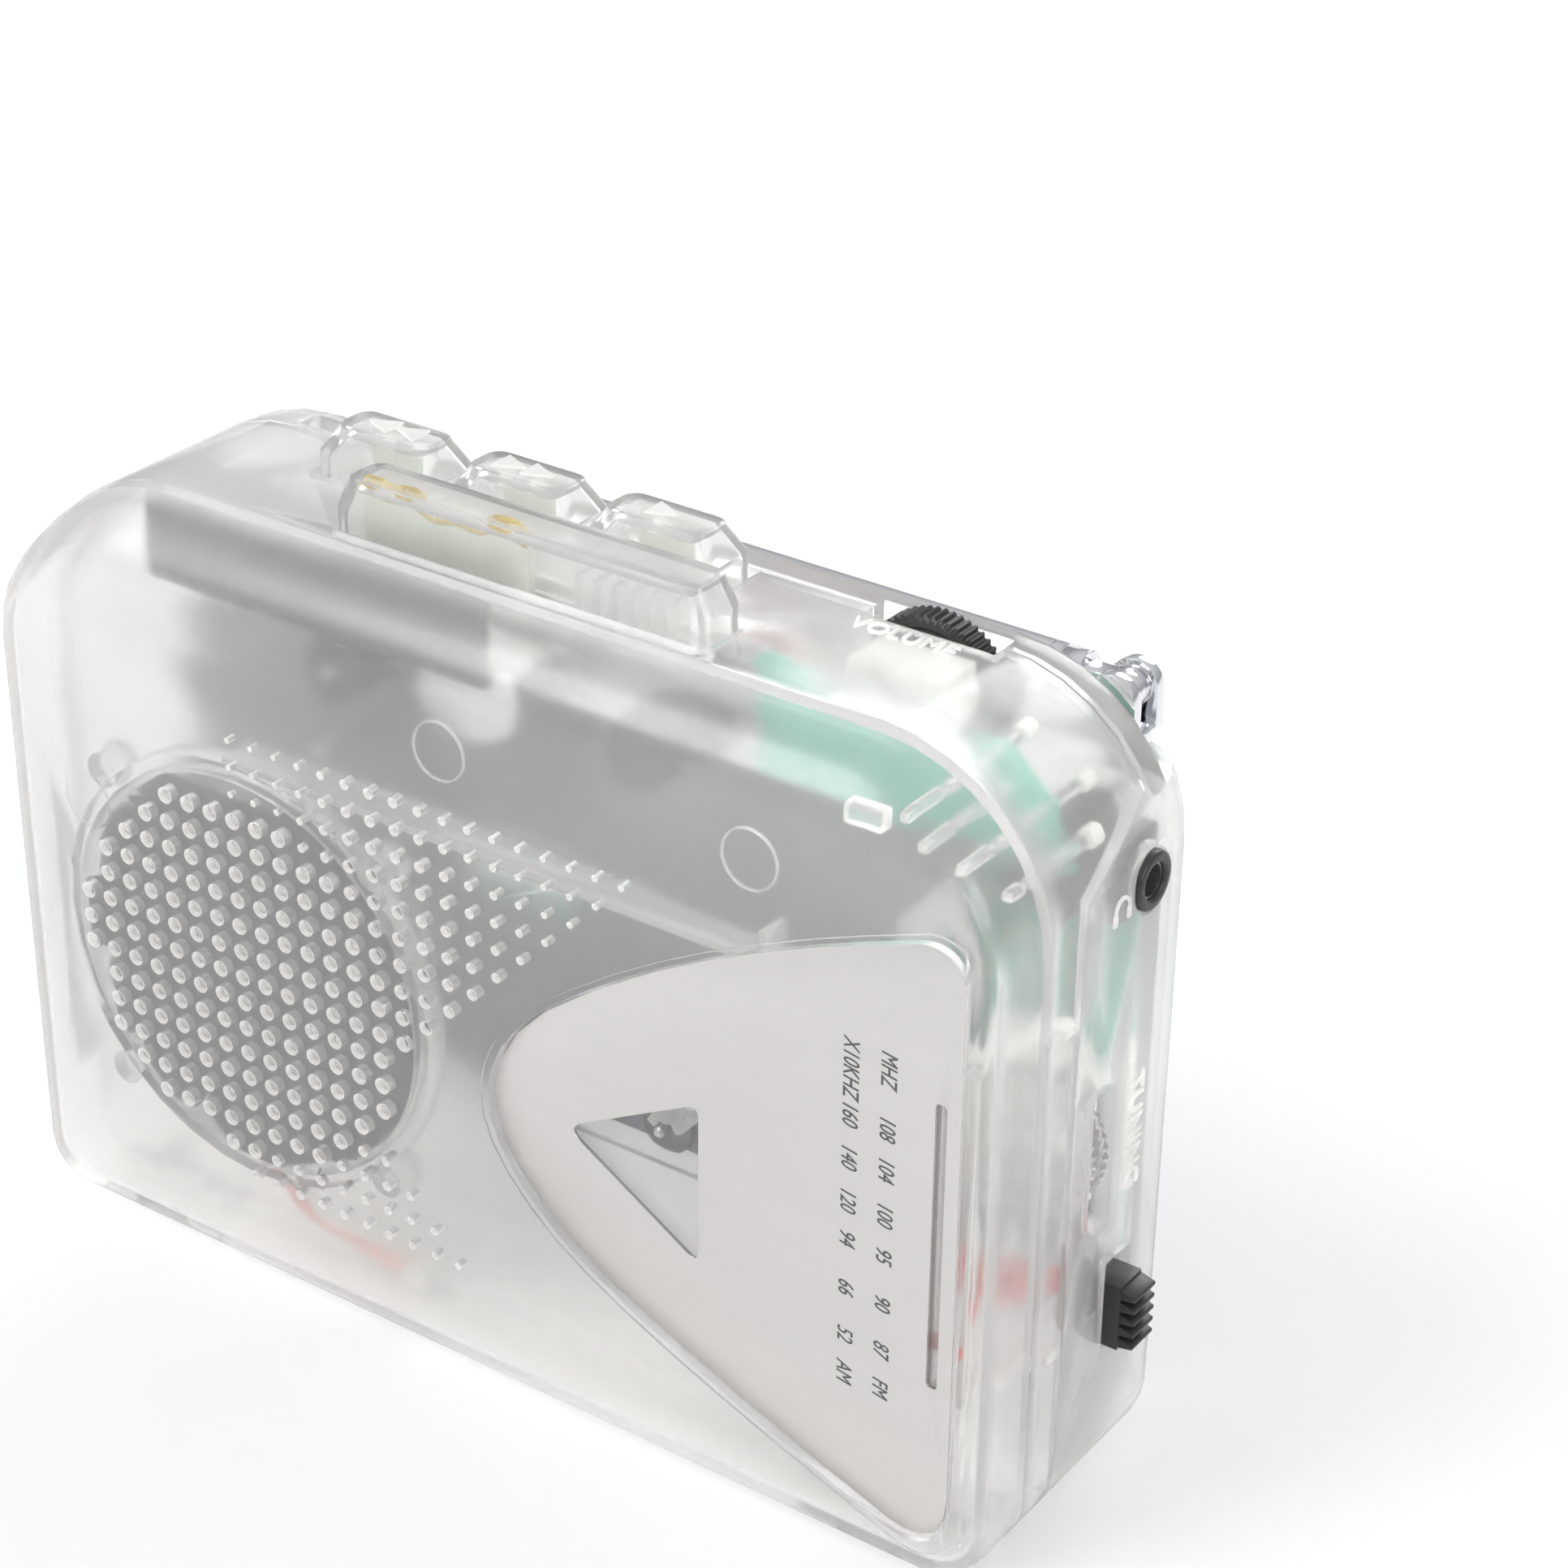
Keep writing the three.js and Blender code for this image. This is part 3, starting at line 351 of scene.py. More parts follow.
def lettering(name, words, size, origin, right, up, depth, body, slot, material=None, shear=0.0, narrow=1.0):
    """Words in a plain face, centred on origin and squeezed to that share of their width."""
    curve = bpy.data.curves.new(name, "FONT")
    curve.body = words
    curve.size = size * MM
    curve.extrude = depth * MM / 2
    curve.shear = shear
    curve.align_x = "CENTER"
    curve.align_y = "CENTER"
    curve.resolution_u = 3
    source = bpy.data.objects.new(name + "_curve", curve)
    bpy.context.scene.collection.objects.link(source)
    graph = bpy.context.evaluated_depsgraph_get()
    mesh = bpy.data.meshes.new_from_object(source.evaluated_get(graph))
    bpy.data.objects.remove(source)
    out = right.cross(up)
    turn = Matrix((right, up, out)).transposed().to_4x4()
    squeeze = Matrix.Diagonal((narrow, 1, 1, 1))
    mesh.transform(Matrix.Translation(origin + out * depth * MM / 2) @ turn @ squeeze)
    return add_object(name, mesh, body, slot, material)


# ---- Camera, floor and light ----

bpy.context.scene.view_settings.view_transform = "Standard"


def camera_view():
    """The photograph's viewpoint: where it stands, how far off, how it is turned and its lens."""
    azimuth, elevation, roll = math.radians(34.66), math.radians(28.70), math.radians(0.77)
    target, distance = mm(24.58, 0, 67.72), 342.58 * MM
    away = Vector((math.sin(azimuth) * math.cos(elevation), -math.cos(azimuth) * math.cos(elevation),
                   math.sin(elevation)))
    right = (-away).cross(Z).normalized()
    up = right.cross(-away)
    right, up = (math.cos(roll) * right + math.sin(roll) * up, math.cos(roll) * up - math.sin(roll) * right)
    data = bpy.data.cameras.new("camera")
    data.sensor_width = 36
    data.lens = 84.54
    data.clip_start = 0.01
    data.clip_end = 20
    camera = bpy.data.objects.new("camera", data)
    bpy.context.scene.collection.objects.link(camera)
    turn = Matrix((right, up, away)).transposed().to_4x4()
    camera.matrix_world = Matrix.Translation(target + away * distance) @ turn
    bpy.context.scene.camera = camera


def area_light(name, place, aim, size, power):
    data = bpy.data.lights.new(name, "AREA")
    data.shape = "DISK"
    data.size = size
    data.energy = power
    light = bpy.data.objects.new(name, data)
    bpy.context.scene.collection.objects.link(light)
    direction = Vector(aim) - Vector(place)
    light.matrix_world = Matrix.Translation(place) @ direction.to_track_quat("-Z", "Y").to_matrix().to_4x4()


def studio():
    world = bpy.data.worlds.new("studio")
    bpy.context.scene.world = world
    world.use_nodes = True
    tree = world.node_tree
    background = tree.nodes["Background"]
    parts = tree.nodes.new("ShaderNodeSeparateXYZ")
    tree.links.new(tree.nodes.new("ShaderNodeTexCoord").outputs["Generated"], parts.inputs[0])
    height = tree.nodes.new("ShaderNodeMapRange")
    height.inputs["From Min"].default_value = 0.0
    height.inputs["From Max"].default_value = 0.7
    tree.links.new(parts.outputs["Z"], height.inputs["Value"])
    sky = blend_colours(tree, height.outputs["Result"], (0.5, 0.51, 0.53), (0.97, 0.98, 1))
    tree.links.new(sky, background.inputs["Color"])
    background.inputs["Strength"].default_value = 0.73
    area_light("key_light", (-0.35, -0.45, 0.75), (0, 0, 0.04), 0.5, 3.3)
    area_light("side_light", (0.75, -0.25, 0.45), (0, 0, 0.04), 0.4, 2.7)
    area_light("back_light", (-0.1, 0.95, 0.5), (-0.1, 0.5, 0), 0.6, 4.6)
    bm = bmesh.new()
    bmesh.ops.create_grid(bm, x_segments=8, y_segments=8, size=9)
    floor = from_bmesh("floor", bm, None, None, FLOOR)
    floor.location.z = -0.0001


def made(name, body, slot, build, material=None, bevel=0.0, segments=2):
    """A piece of what build adds to an empty bmesh, with its edges rounded by bevel."""
    bm = bmesh.new()
    build(bm)
    bmesh.ops.recalc_face_normals(bm, faces=bm.faces)
    if bevel:
        round_edges(bm, bevel, segments)
    return from_bmesh(name, bm, body, slot, material)


# ---- The front door ----

# Clear panes in the frosted door, behind the plate's window and its slot: outlines in X and Z.
WINDOW = [(9.6, 35.2), (29.6, 22.6), (29.6, 46)]
SLOT = [(53.4, 22), (55.8, 22), (55.8, 54.4), (53.4, 54.4)]
GRILLE_PITCH = 3.0
GRILLE_LEFT, GRILLE_TOP = -46.1, 42.8
THROUGH_RADIUS = 0.93
DOOR_FACE = -19
DOOR_SEAM = -10


def grille_holes():
    """The x, z, radius and depth of the holes over the loudspeaker, and of those that fade out round it."""
    holes = []
    low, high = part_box("speaker_basket")
    middle, reach = centre("speaker_basket") / MM, (high.x - low.x) / 2 / MM
    for row in range(-7, 11):
        last = 15 - row if row < 6 else 5 + row
        for column in range(-1, max(last, 14) + 1):
            x, z = GRILLE_LEFT + GRILLE_PITCH * column, GRILLE_TOP - GRILLE_PITCH * row
            beyond = math.hypot(x - middle.x, z - middle.z) - reach
            if beyond > -1.6 and (column > last or z < 12 or x < middle.x - 1.5):
                continue
            over_ring = -1.6 <= beyond < 0.9
            fade = min(1, max(0.45, (x - middle.x) / 18)) if z > middle.z else 0.75
            radius = THROUGH_RADIUS if beyond < -1.6 else fade * max(0.4, 0.85 - 0.02 * beyond)
            depth = 1.1 if over_ring else 2.6
            holes.append((x, z, radius, depth))
    return holes


def front_door():
    bm = clean_copy("door_shell")
    door = from_bmesh("door_shell_fine", bm, "door", "clear")
    openings, linings = bmesh.new(), bmesh.new()
    start, end = DOOR_FACE + 0.02, DOOR_FACE + 0.7
    for x, z, radius, depth in grille_holes():
        rod(openings, mm(x, DOOR_FACE - 1, z), mm(x, DOOR_FACE + depth, z), radius * MM, 12)
        outer, inner = radius - 0.01, radius - 0.08
        turned(linings, [(outer, start), (outer, end), (inner, end), (inner, start)], mm(x, 0, z), Y, 12)
    from_bmesh("door_hole_linings", linings, "door", "clear", EMBOSS)
    outline_solid(openings, WINDOW, -18, -16, "y")
    outline_solid(openings, SLOT, -18, -16, "y")
    bmesh.ops.recalc_face_normals(openings, faces=openings.faces)
    carve(door, openings)
    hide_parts("door_shell")
    for name, shape, material in (("door_window", WINDOW, POLISHED), ("door_dial_window", SLOT, DIAL_PANE)):
        made(name, "door", "clear", lambda bm: outline_solid(bm, shape, -17.88, -17.02, "y"), material)
    inner = -17
    for i, (x, z) in enumerate([(-2.1, 70.3), (33.3, 70.8), (-49, 50)]):
        ring = [(3.1, -0.1), (3.1, 0.14), (2.9, 0.14), (2.9, -0.1)]
        made(f"door_mark_{i + 1}", "door", "clear", lambda bm: turned(bm, ring, mm(x, inner, z), Y))
    stiffeners = [("door_ledge", mm(-30, -17.1, 60.2), mm(52, -12.6, 61), 0.2),
                  ("door_rib", mm(34.3, -17.1, 61.1), mm(35.1, -13, 64), 0.2),
                  ("door_block", mm(42.5, -16.6, 77), mm(46.5, -14.8, 79), 0.3)]
    for name, low, high, bevel in stiffeners:
        made(name, "door", "clear", lambda bm: block(bm, low, high), None, bevel)


def corner_ribs():
    """Clear ribs with white ends along the inside of the top right corner, parted at the door's seam."""
    ribs = [(48.2, 78.9, -16, 2), (49.5, 76, -15, -2.3), (53.2, 75, -15, 3.5), (56, 72.2, -12.5, 0.5)]
    for i, (x, z, front, back) in enumerate(ribs):
        for body, start, end in (("door", front, DOOR_SEAM - 0.3), ("case", DOOR_SEAM + 0.3, back)):
            made(f"{body}_corner_rib_{i + 1}", body, "clear",
                 lambda bm: block(bm, mm(x - 0.5, start, z - 0.5), mm(x + 0.5, end, z + 0.5)),
                 KEY_PLASTIC, 0.2)
        made(f"case_corner_boss_{i + 1}", "case", "white",
             lambda bm: rod(bm, mm(x, back - 0.2, z), mm(x, back + 1.6, z), 0.9 * MM, 16), None, 0.3)


def loudspeaker():
    middle = centre("speaker_basket")
    x, z = middle.x / MM, middle.z / MM
    front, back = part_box("speaker_cone")[0].y / MM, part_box("speaker_basket")[1].y / MM
    refine("speaker_basket", 0.15)
    refine("speaker_magnet", 0.4)
    profile = [(19.4, front + 0.2), (18.6, front + 0.05), (17.6, front + 0.5), (16.8, front + 0.15)]
    profile += [(16, front + 0.8)]
    profile += [(16 - 0.9 * i, front + 0.8 + 0.24 * i + 0.1 * (i % 2)) for i in range(1, 10)]
    profile += [(7, front + 3.2), (5.4, front + 2.4), (3, front + 1.7), (0.05, front + 1.4)]
    shell = profile + [(radius, y + 0.35) for radius, y in reversed(profile)]
    cone = made("speaker_cone_fine", "door", "cone", lambda bm: turned(bm, shell, mm(x, 0, z), Y, 72))
    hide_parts("speaker_cone")
    cloth = [(0.05, front - 0.08), (22.2, front - 0.08), (22.2, front - 0.02), (0.05, front - 0.02)]
    made("speaker_cloth", "door", "cone", lambda bm: turned(bm, cloth, mm(x, 0, z), Y, 96), CLOTH)
    made("speaker_lugs", "door", "board",
         lambda bm: block(bm, mm(x - 4, back, z - 19), mm(x + 4, back + 0.8, z - 15)), BROWN_BOARD, 0.1)
    for i, (side, level) in enumerate([(-1, -1), (1, -1), (1, 1), (-1, 1)]):
        place = mm(x + side * 17.8, 0, z + level * 17.8)
        post = [(0.01, -17.1), (1.9, -17.1), (1.7, -14.6), (2.3, -14.2), (2, -13.4), (0.9, -13.1),
                (0.01, -13.3)]
        made(f"speaker_post_{i + 1}", "door", "clear", lambda bm: turned(bm, post, place, Y, 24))
    for name, shift, slot in (("red", -1.6, "red"), ("white", 1.2, "white")):
        path = [mm(x + shift, back + 1.2, z - 17), mm(x + shift + 0.8, back + 1.4, z - 20),
                mm(x + shift + 2.4, -13.4, 12), mm(x + 5 + shift, -14.4, 8.4),
                mm(x + 10, -13 + 0.4 * shift, 5.4), mm(x + 17, -12 + 0.4 * shift, 3.6)]
        material = PINK if name == "red" else None
        made(f"speaker_wire_{name}", "door", slot, lambda bm: tube_along(bm, path, 0.55 * MM), material)
    made("speaker_wire_clip", "door", "white",
         lambda bm: block(bm, mm(x + 16, -13.4, 2.6), mm(x + 19, -10.8, 4.6)), None, 0.3)


FM_MARKS = [("MHZ", 55.3), ("108", 49.1), ("104", 44.7), ("100", 39.8), ("95", 35.3), ("90", 30),
            ("87", 24.8), ("FM", 20.4)]
AM_MARKS = [("X10KHZ", 54), ("160", 49.1), ("140", 44.5), ("120", 39.8), ("94", 35.6), ("66", 30.1),
            ("52", 24.8), ("AM", 20.5)]


def dial():
    refine("dial_plate", 0.06)
    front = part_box("dial_plate")[0].y / MM
    for marks, x in ((FM_MARKS, 49), (AM_MARKS, 45)):
        for words, z in marks:
            name = "dial_mark_" + words + "_" + str(x)
            lettering(name, words, 2.45, mm(x, front, z), -Z, X, 0.03, "door", "plate", PRINT_GREY, 0.25, 0.7)


    def backing(bm):
        """Two strips behind the pointer, with a gap its arm runs in, on feet from the case."""
        for left, right in ((48.6, 52.9), (54.5, 56.3)):
            block(bm, mm(left, -15.4, 19.6), mm(right, -15, 56.6))
        for foot in (19.6, 55.6):
            block(bm, mm(48.6, -15.2, foot), mm(56.3, -14.4, foot + 1))
            block(bm, mm(54.6, -14.6, foot), mm(56.3, -4, foot + 1))
            block(bm, mm(56, -6, foot), mm(58.4, -4, foot + 1))

    made("dial_backing", "case", "white", backing)


# ---- Keys ----

def key_cap(node, top_inset, symbol):
    """A clear cap with round corners, whose sides lean in to a smaller top with the symbol standing on it.
    The symbol lists triangles as a side they point to and an offset from the middle."""
    low, high = (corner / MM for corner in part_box(node))
    top = high.z - 0.3
    shoulder = top - 3
    wall, roof = 1.4, 1.4
    levels = [(0, 1.4, low.z), (0, 1.4, shoulder), (top_inset, 1.6, top - 0.5),
              (top_inset + 0.2, 1.5, top - 0.15), (top_inset + 0.6, 1.3, top)]
    levels += [(top_inset + wall, 0.6, top - roof), (wall, 0.6, shoulder - 0.8), (wall, 0.6, low.z)]
    bm = bmesh.new()
    rings = []
    for inset, radius, z in levels:
        right, back = high.x - inset - radius, high.y - inset * 0.55 - radius
        left, front = low.x + inset + radius, low.y + inset * 0.55 + radius
        ring = []
        for quarter, (x, y) in enumerate([(right, back), (left, back), (left, front), (right, front)]):
            for step in range(6):
                angle = math.pi / 2 * (quarter + step / 5)
                ring.append(bm.verts.new(mm(x + radius * math.cos(angle), y + radius * math.sin(angle), z)))
        rings.append(ring)
    for i in (0, 1, 2, 3, 5, 6, 7):
        lower, upper = rings[i], rings[(i + 1) % len(rings)]
        for k in range(len(lower)):
            j = (k + 1) % len(lower)
            bm.faces.new((lower[k], lower[j], upper[j], upper[k]))
    bm.faces.new(rings[4])
    bm.faces.new(rings[5])
    bmesh.ops.recalc_face_normals(bm, faces=bm.faces)
    piece = from_bmesh(node + "_cap", bm, BODY_OF[node], "clear", KEY_PLASTIC, 30)
    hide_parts(node)
    middle = (low.x + high.x) / 2
    for i, (side, offset) in enumerate(symbol):
        marks = bmesh.new()
        x, y = middle + offset, (low.y + high.y) / 2
        tip = 1.6 if side == "right" else -1.6
        points = [(x - tip, y - 1.5), (x + tip, y), (x - tip, y + 1.5)]
        outline_solid(marks, points, top - 0.05, high.z - 0.02, "z")
        bmesh.ops.recalc_face_normals(marks, faces=marks.faces)
        round_edges(marks, 0.08, 1)
        from_bmesh(f"{node}_symbol_{i + 1}", marks, BODY_OF[node], "clear", EMBOSS)


def keys():
    key_cap("stop_key", 0.9, [])
    key_cap("rewind_key", 1.7, [("left", -1.7), ("left", 1.7)])
    key_cap("forward_key", 1.7, [("right", -1.7), ("right", 1.7)])
    key_cap("play_key", 1.7, [("right", 0)])
    for node in ("stop_key_lever", "rewind_key_lever", "forward_key_lever", "play_key_lever"):
        refine(node, 0.12, PALE_METAL)
    refine("key_bracket", 0.12, DARK_SHEET)
    low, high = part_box("stop_key_lever")
    bm = bmesh.new()
    points = []
    count = 14
    for i in range(count + 1):
        share = i / count
        wave = 0.35 * math.sin(share * 9) + 0.25 * math.sin(share * 23 + 1)
        x, y = low.x + (high.x - low.x) * share, (low.y + high.y) / 2
        points.append(Vector((x, y, high.z + (wave - 0.5) * MM)))
    tube_along(bm, points, 0.6 * MM, 10)
    from_bmesh("stop_key_glue", bm, "stop_key", "clear", GLUE)
    for i in range(6):
        x = 5.5 + 2.1 * i
        bm = bmesh.new()
        block(bm, mm(x, -6.3, 81.2), mm(x + 0.7, -3.1, 86.4))
        from_bmesh(f"stop_key_rib_{i + 1}", bm, "stop_key", "clear", KEY_PLASTIC)


# ---- Case, antenna and controls ----

def shells():
    refine("middle_frame", 0.22)
    refine("rear_shell", 0.22)
    cover = refine("battery_door", 0.22)
    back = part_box("battery_door")[1].y / MM
    grooves = bmesh.new()
    for i in range(5):
        block(grooves, mm(-49, back - 0.45, 5.2 + 1.7 * i), mm(-41, back + 1, 6 + 1.7 * i))
    carve(cover, grooves)
    inner = back - 2
    for i, (x, z) in enumerate([(34, 62), (10, 65), (-14, 62), (-30, 37), (17, 27), (-50, 50)]):
        ring = [(3.1, 0.1), (3.1, -0.14), (2.9, -0.14), (2.9, 0.1)]
        made(f"back_mark_{i + 1}", "case", "clear", lambda bm: turned(bm, ring, mm(x, inner, z), Y))
    lettering("volume_word", "VOLUME", 2.9, mm(34.4, 4.4, 84), X, Y, 0.3, "case", "clear", EMBOSS)
    lettering("tuning_word", "TUNING", 3.3, mm(60, 6.6, 39.5), -Z, Y, 0.3, "case", "clear", EMBOSS)
    band = [mm(60.05, 1.9 + 1.2 * math.cos(a), 65.6 + 1.2 * math.sin(a)) for a in
            [math.pi * i / 8 for i in range(-1, 10)]]
    made("headphone_sign", "case", "clear", lambda bm: tube_along(bm, band, 0.2 * MM, 8, 3), EMBOSS)
    for i, y in enumerate((0.7, 3.1)):
        made(f"headphone_sign_pad_{i + 1}", "case", "clear",
             lambda bm: block(bm, mm(59.9, y - 0.35, 64.3), mm(60.2, y + 0.35, 65.5)), EMBOSS, 0.1)


def knurled(node, teeth, depth, bore, body, slot, material=None):
    """A wheel with fine teeth round its rim and a shallow dish in each face, in place of the node."""
    low, high = (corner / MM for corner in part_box(node))
    middle = (low + high) / 2
    radius = (high.x - low.x) / 2
    bm = bmesh.new()
    profile = [(bore, 0.25), (radius - 1.6, 0.25), (radius - 1.2, 0), (radius - 0.35, 0), (radius, 0.3)]
    thick = high.y - low.y
    profile += [(r, thick - y) for r, y in reversed(profile)]
    sides = teeth * 4
    rings = []
    for r, y in profile:
        ring = []
        for i in range(sides):
            reach = r - depth * (i % 4 in (1, 2)) if r > radius - 0.5 else r
            angle = 2 * math.pi * i / sides
            across, up = reach * math.cos(angle), reach * math.sin(angle)
            ring.append(bm.verts.new(mm(middle.x + across, low.y + y, middle.z + up)))
        rings.append(ring)
    for lower, upper in zip(rings, rings[1:] + rings[:1]):
        for i in range(sides):
            j = (i + 1) % sides
            bm.faces.new((lower[i], lower[j], upper[j], upper[i]))
    piece = from_bmesh(node + "_fine", bm, body, slot, material, 30)
    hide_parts(node)


def controls():
    knurled("volume_wheel", 56, 0.32, 1.8, "volume_wheel", "black")
    knurled("tuning_wheel", 44, 0.3, 1.8, "tuning_wheel", "clear", KEY_PLASTIC)
    low, high = (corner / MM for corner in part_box("band_switch_knob"))

    def knob(bm):
        block(bm, mm(low.x, low.y, low.z), mm(61.6, high.y, high.z))
        for i in range(5):
            foot = low.z + 0.3 + 1.38 * i
            tooth = [(61.4, foot), (high.x, foot + 0.35), (high.x, foot + 0.75), (61.4, foot + 1.25)]
            outline_solid(bm, tooth, low.y + 0.05, high.y - 0.05, "y")

    piece = made("band_switch_knob_fine", "band_switch_knob", "black", knob, None, 0.12)
    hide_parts("band_switch_knob")
    refine("headphone_jack", 0.35)
    x, y, z = 60.2, 7.4, 66
    lining = [(1.78, -3), (1.78, -0.4), (1.6, -0.4), (1.6, -3)]
    made("headphone_jack_lining", "case", "steel", lambda bm: turned(bm, lining, mm(x, y, z), X, 32))
    refine("antenna_base", 0.25)
    refine("power_inlet", 0.2)
    pin = [(0.01, -3.2), (0.5, -3.2), (0.5, -0.6), (0.25, -0.3), (0.01, -0.3)]
    made("power_inlet_pin", "case", "steel", lambda bm: turned(bm, pin, mm(-30.85, 12.2, 76.6), Y, 16))


def antenna():
    """Chrome tubes with a ring at each end, and the rod with its barrel-shaped cap."""
    axis = mm(0, 16.3, 78.8)
    for i, (radius, bore) in enumerate([(2.22, 1.95), (1.77, 1.5), (1.32, 1.05)], 2):
        node = f"antenna_tube_{i}"
        low, high = (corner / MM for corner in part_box(node))
        end, inner = low.x, high.x
        profile = [(bore, end), (radius - 0.25, end), (radius - 0.06, end + 0.12), (radius, end + 0.4),
                   (radius, end + 0.9), (radius - 0.12, end + 1.15), (radius - 0.12, end + 1.35),
                   (radius, end + 1.5), (radius, inner - 0.2), (radius - 0.2, inner), (0.01, inner),
                   (0.01, inner - 0.4), (bore, inner - 0.4)]
        piece = made(node + "_fine", node, "chrome", lambda bm: turned(bm, profile, axis, X, 48))
        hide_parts(node)
    first = refine("antenna_tube_1", 0.3)
    groove = bmesh.new()
    for start in (-19.9, 43.2, 44.4):
        turned(groove, [(2.58, start), (3.2, start), (3.2, start + 0.25), (2.58, start + 0.25)], axis, X, 48)
    carve(first, groove)
    low, high = (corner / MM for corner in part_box("antenna_rod"))
    tip, inner = low.x, high.x
    profile = [(0.01, tip), (1.75, tip), (2.1, tip + 0.12), (2.25, tip + 0.5), (2.25, tip + 5.4),
               (2.1, tip + 5.9), (0.85, tip + 6.1), (0.85, inner - 0.1), (0.7, inner), (0.01, inner)]
    piece = made("antenna_rod_fine", "antenna_rod", "chrome", lambda bm: turned(bm, profile, axis, X, 48))
    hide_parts("antenna_rod")


# ---- Boards and what is fixed to them ----

def on_board(tree, x, z, reach, y):
    """True if the board lies behind a square of that half width."""
    for dx in (-reach, reach):
        for dz in (-reach, reach):
            if tree.ray_cast(mm(x + dx, y, z + dz), -Y)[0] is None:
                return False
    return True


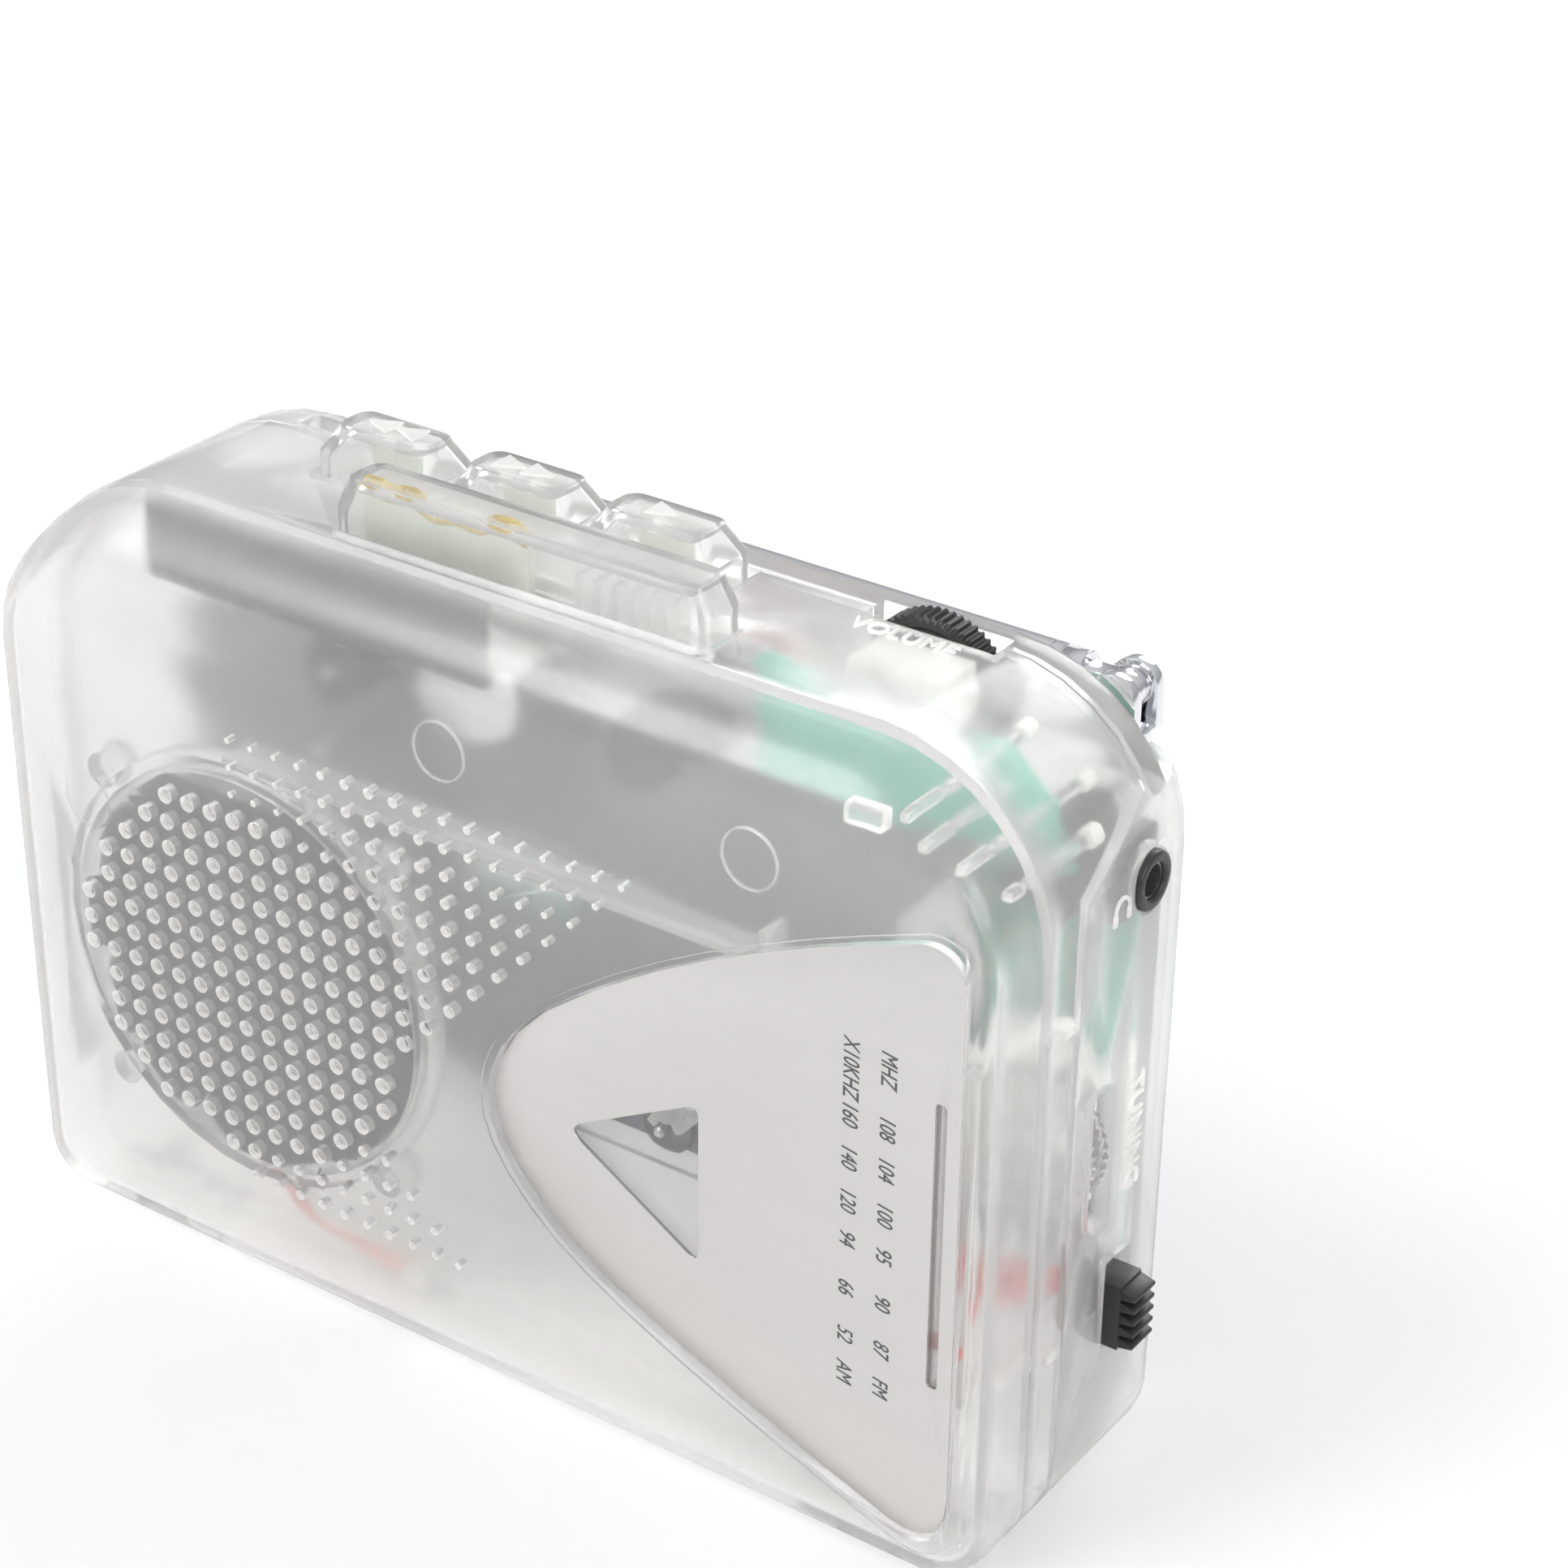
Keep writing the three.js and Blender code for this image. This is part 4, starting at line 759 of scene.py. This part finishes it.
def boards():
    refine("main_board", 0.08)
    refine("tuner_board", 0.08)
    mesh = frame["nodes"]["main_board"].data
    tree = BVHTree.FromPolygons([v.co for v in mesh.vertices], [p.vertices for p in mesh.polygons])
    back, front = 12.8, 11.6
    rng = random.Random(7)
    spots = []
    while len(spots) < 120:
        x, z = rng.uniform(-52, 53), rng.uniform(20.5, 60.5)
        if on_board(tree, x, z, 1, 20):
            spots.append((x, z))

    def joints(bm):
        for x, z in spots:
            radius = rng.uniform(0.35, 0.65)
            dome = [(0.01, 0.5 * radius + 0.1), (radius * 0.6, 0.4 * radius + 0.08), (radius, 0.05),
                    (radius, -0.05), (0.01, -0.05)]
            turned(bm, dome, mm(x, back, z), Y, 10)

    def traces(bm):
        for x, z in spots[:70]:
            length, width = rng.uniform(3, 12), rng.uniform(0.35, 0.9)
            across = rng.random() < 0.5
            steps = max(int(length), 1)
            for step in range(steps):
                dx, dz = (step, 0) if across else (0, step)
                if not on_board(tree, x + dx + 0.5, z + dz + 0.5, 0.9, 20):
                    break
                reach = (1, width) if across else (width, 1)
                block(bm, mm(x + dx, back, z + dz), mm(x + dx + reach[0], back + 0.06, z + dz + reach[1]))

    made("main_board_solder", "case", "steel", joints, SOLDER)
    made("main_board_traces", "case", "board", traces, TRACE)
    for i, (x, z) in enumerate([(49, 27), (40, 31), (-46, 26), (50, 44), (32, 55)]):
        can = [(0.01, 0), (1.3, 0), (1.5, 0.15), (1.5, 2.2), (1.35, 2.4), (1.42, 2.6), (1.42, 3.2),
               (0.01, 3.2)]
        made(f"capacitor_{i + 1}", "case", "black", lambda bm: turned(bm, can, mm(x, front, z), -Y, 32))
    places = [(42, 57), (46, 53), (44, 49), (20, 29), (4, 24), (-10, 26), (-20, 29), (50, 57)]
    for i, (x, z) in enumerate(places):
        body = [(0.01, -1.7), (0.45, -1.7), (0.62, -1.4), (0.62, -0.9), (0.5, -0.7), (0.5, 0.7), (0.62, 0.9),
                (0.62, 1.4), (0.45, 1.7), (0.01, 1.7)]
        made(f"resistor_{i + 1}", "case", "board",
             lambda bm: turned(bm, body, mm(x, front - 0.75, z), X, 20), BEIGE)
        made(f"resistor_{i + 1}_leads", "case", "steel", lambda bm: tube_along(
            bm, [mm(x - 2.6, front + 0.1, z), mm(x - 2.6, front - 0.6, z), mm(x - 1.6, front - 0.75, z),
                 mm(x + 1.6, front - 0.75, z), mm(x + 2.6, front - 0.6, z), mm(x + 2.6, front + 0.1, z)],
            0.14 * MM, 8, 4), SOLDER)

    def chip(bm):
        block(bm, mm(8, front - 2.6, 26), mm(18, front - 0.6, 31.5))
        for i in range(7):
            for z, step in ((26, -1), (31.5, 1)):
                block(bm, mm(8.7 + 1.3 * i, front - 1.9, min(z, z + step * 0.8)),
                      mm(9.2 + 1.3 * i, front, max(z, z + step * 0.8)))

    made("radio_chip", "case", "black", chip, None, 0.06)
    made("pink_capacitor", "case", "white",
         lambda bm: block(bm, mm(6, 12.9, 60.8), mm(20.4, 16.2, 69.2)), PINK, 0.5, 3)
    ring = [(1.1, 0), (3, 0), (3, 1.3), (2.6, 1.6), (1.5, 1.6), (1.1, 1.3)]
    made("trimmer_ring", "case", "brass", lambda bm: turned(bm, ring, mm(-41.5, back, 34), Y, 40))
    foot = [(0.01, -1), (2.2, -1), (2.2, 0.05), (0.01, 0.05)]
    made("trimmer_foot", "case", "board", lambda bm: turned(bm, foot, mm(-41.5, back, 34), Y, 24), TRACE)
    wires = {
        "wire_red": ("red", [mm(52.6, 13.2, 24), mm(53.5, 14.4, 21), mm(53.8, 12.6, 18.6),
                             mm(53.5, 10, 16.2)]),
        "wire_tuner": ("white", [mm(46, 11.2, 60), mm(45.5, 9, 62), mm(44, 5, 65), mm(43.5, 2.4, 69),
                                 mm(44, 0.3, 72)]),
        "wire_motor": ("red", [mm(20, 13.2, 37), mm(21, 15, 39), mm(20.5, 16.2, 43), mm(18, 16.7, 47)]),
    }
    for name, (slot, path) in wires.items():
        made(name, "case", slot, lambda bm: tube_along(bm, path, 0.5 * MM))
    washer = [(0.01, 0), (3.1, 0), (3.1, 0.6), (2.4, 0.9), (0.01, 0.9)]
    made("deck_washer", "case", "deck", lambda bm: turned(bm, washer, mm(8.6, 4, 21.5), -Y, 32), DARK_METAL)
    pin = [(0.01, 0.5), (0.65, 0.5), (0.65, 2), (0.4, 2.3), (0.01, 2.3)]
    made("deck_washer_pin", "case", "steel", lambda bm: turned(bm, pin, mm(8.6, 4, 21.5), -Y, 16))


def flywheel():
    low, high = (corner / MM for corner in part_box("flywheel"))
    middle = (low + high) / 2
    thick = high.y - low.y
    outer = [(1.3, 0), (12.3, 0), (12.5, 0.2), (12.5, thick - 0.2), (12.3, thick), (10.4, thick),
             (10, thick - 0.7)]
    rings = []
    for i in range(5):
        radius = 9.2 - i
        rings += [(radius, thick - 0.7), (radius - 0.15, thick - 0.85), (radius - 0.3, thick - 0.7)]
    profile = outer + rings + [(4, thick - 0.7), (3.5, thick), (1.3, thick)]
    piece = made("flywheel_fine", "flywheel", SLOT_OF["flywheel"],
                 lambda bm: turned(bm, profile, mm(middle.x, low.y, middle.z), Y, 96), DARK_METAL)
    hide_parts("flywheel")


def other_nodes():
    """The nodes that keep their CAD form, with their edges rounded."""
    replaced = {name[:-5] for name in bpy.data.objects.keys() if name.endswith("_fine")}
    replaced |= {name[:-4] for name in bpy.data.objects.keys() if name.endswith("_cap")}
    for node in frame["nodes"]:
        if node not in replaced:
            refine(node, 0.12)


camera_view()
studio()
shells()
front_door()
loudspeaker()
corner_ribs()
dial()
keys()
controls()
antenna()
boards()
flywheel()
other_nodes()
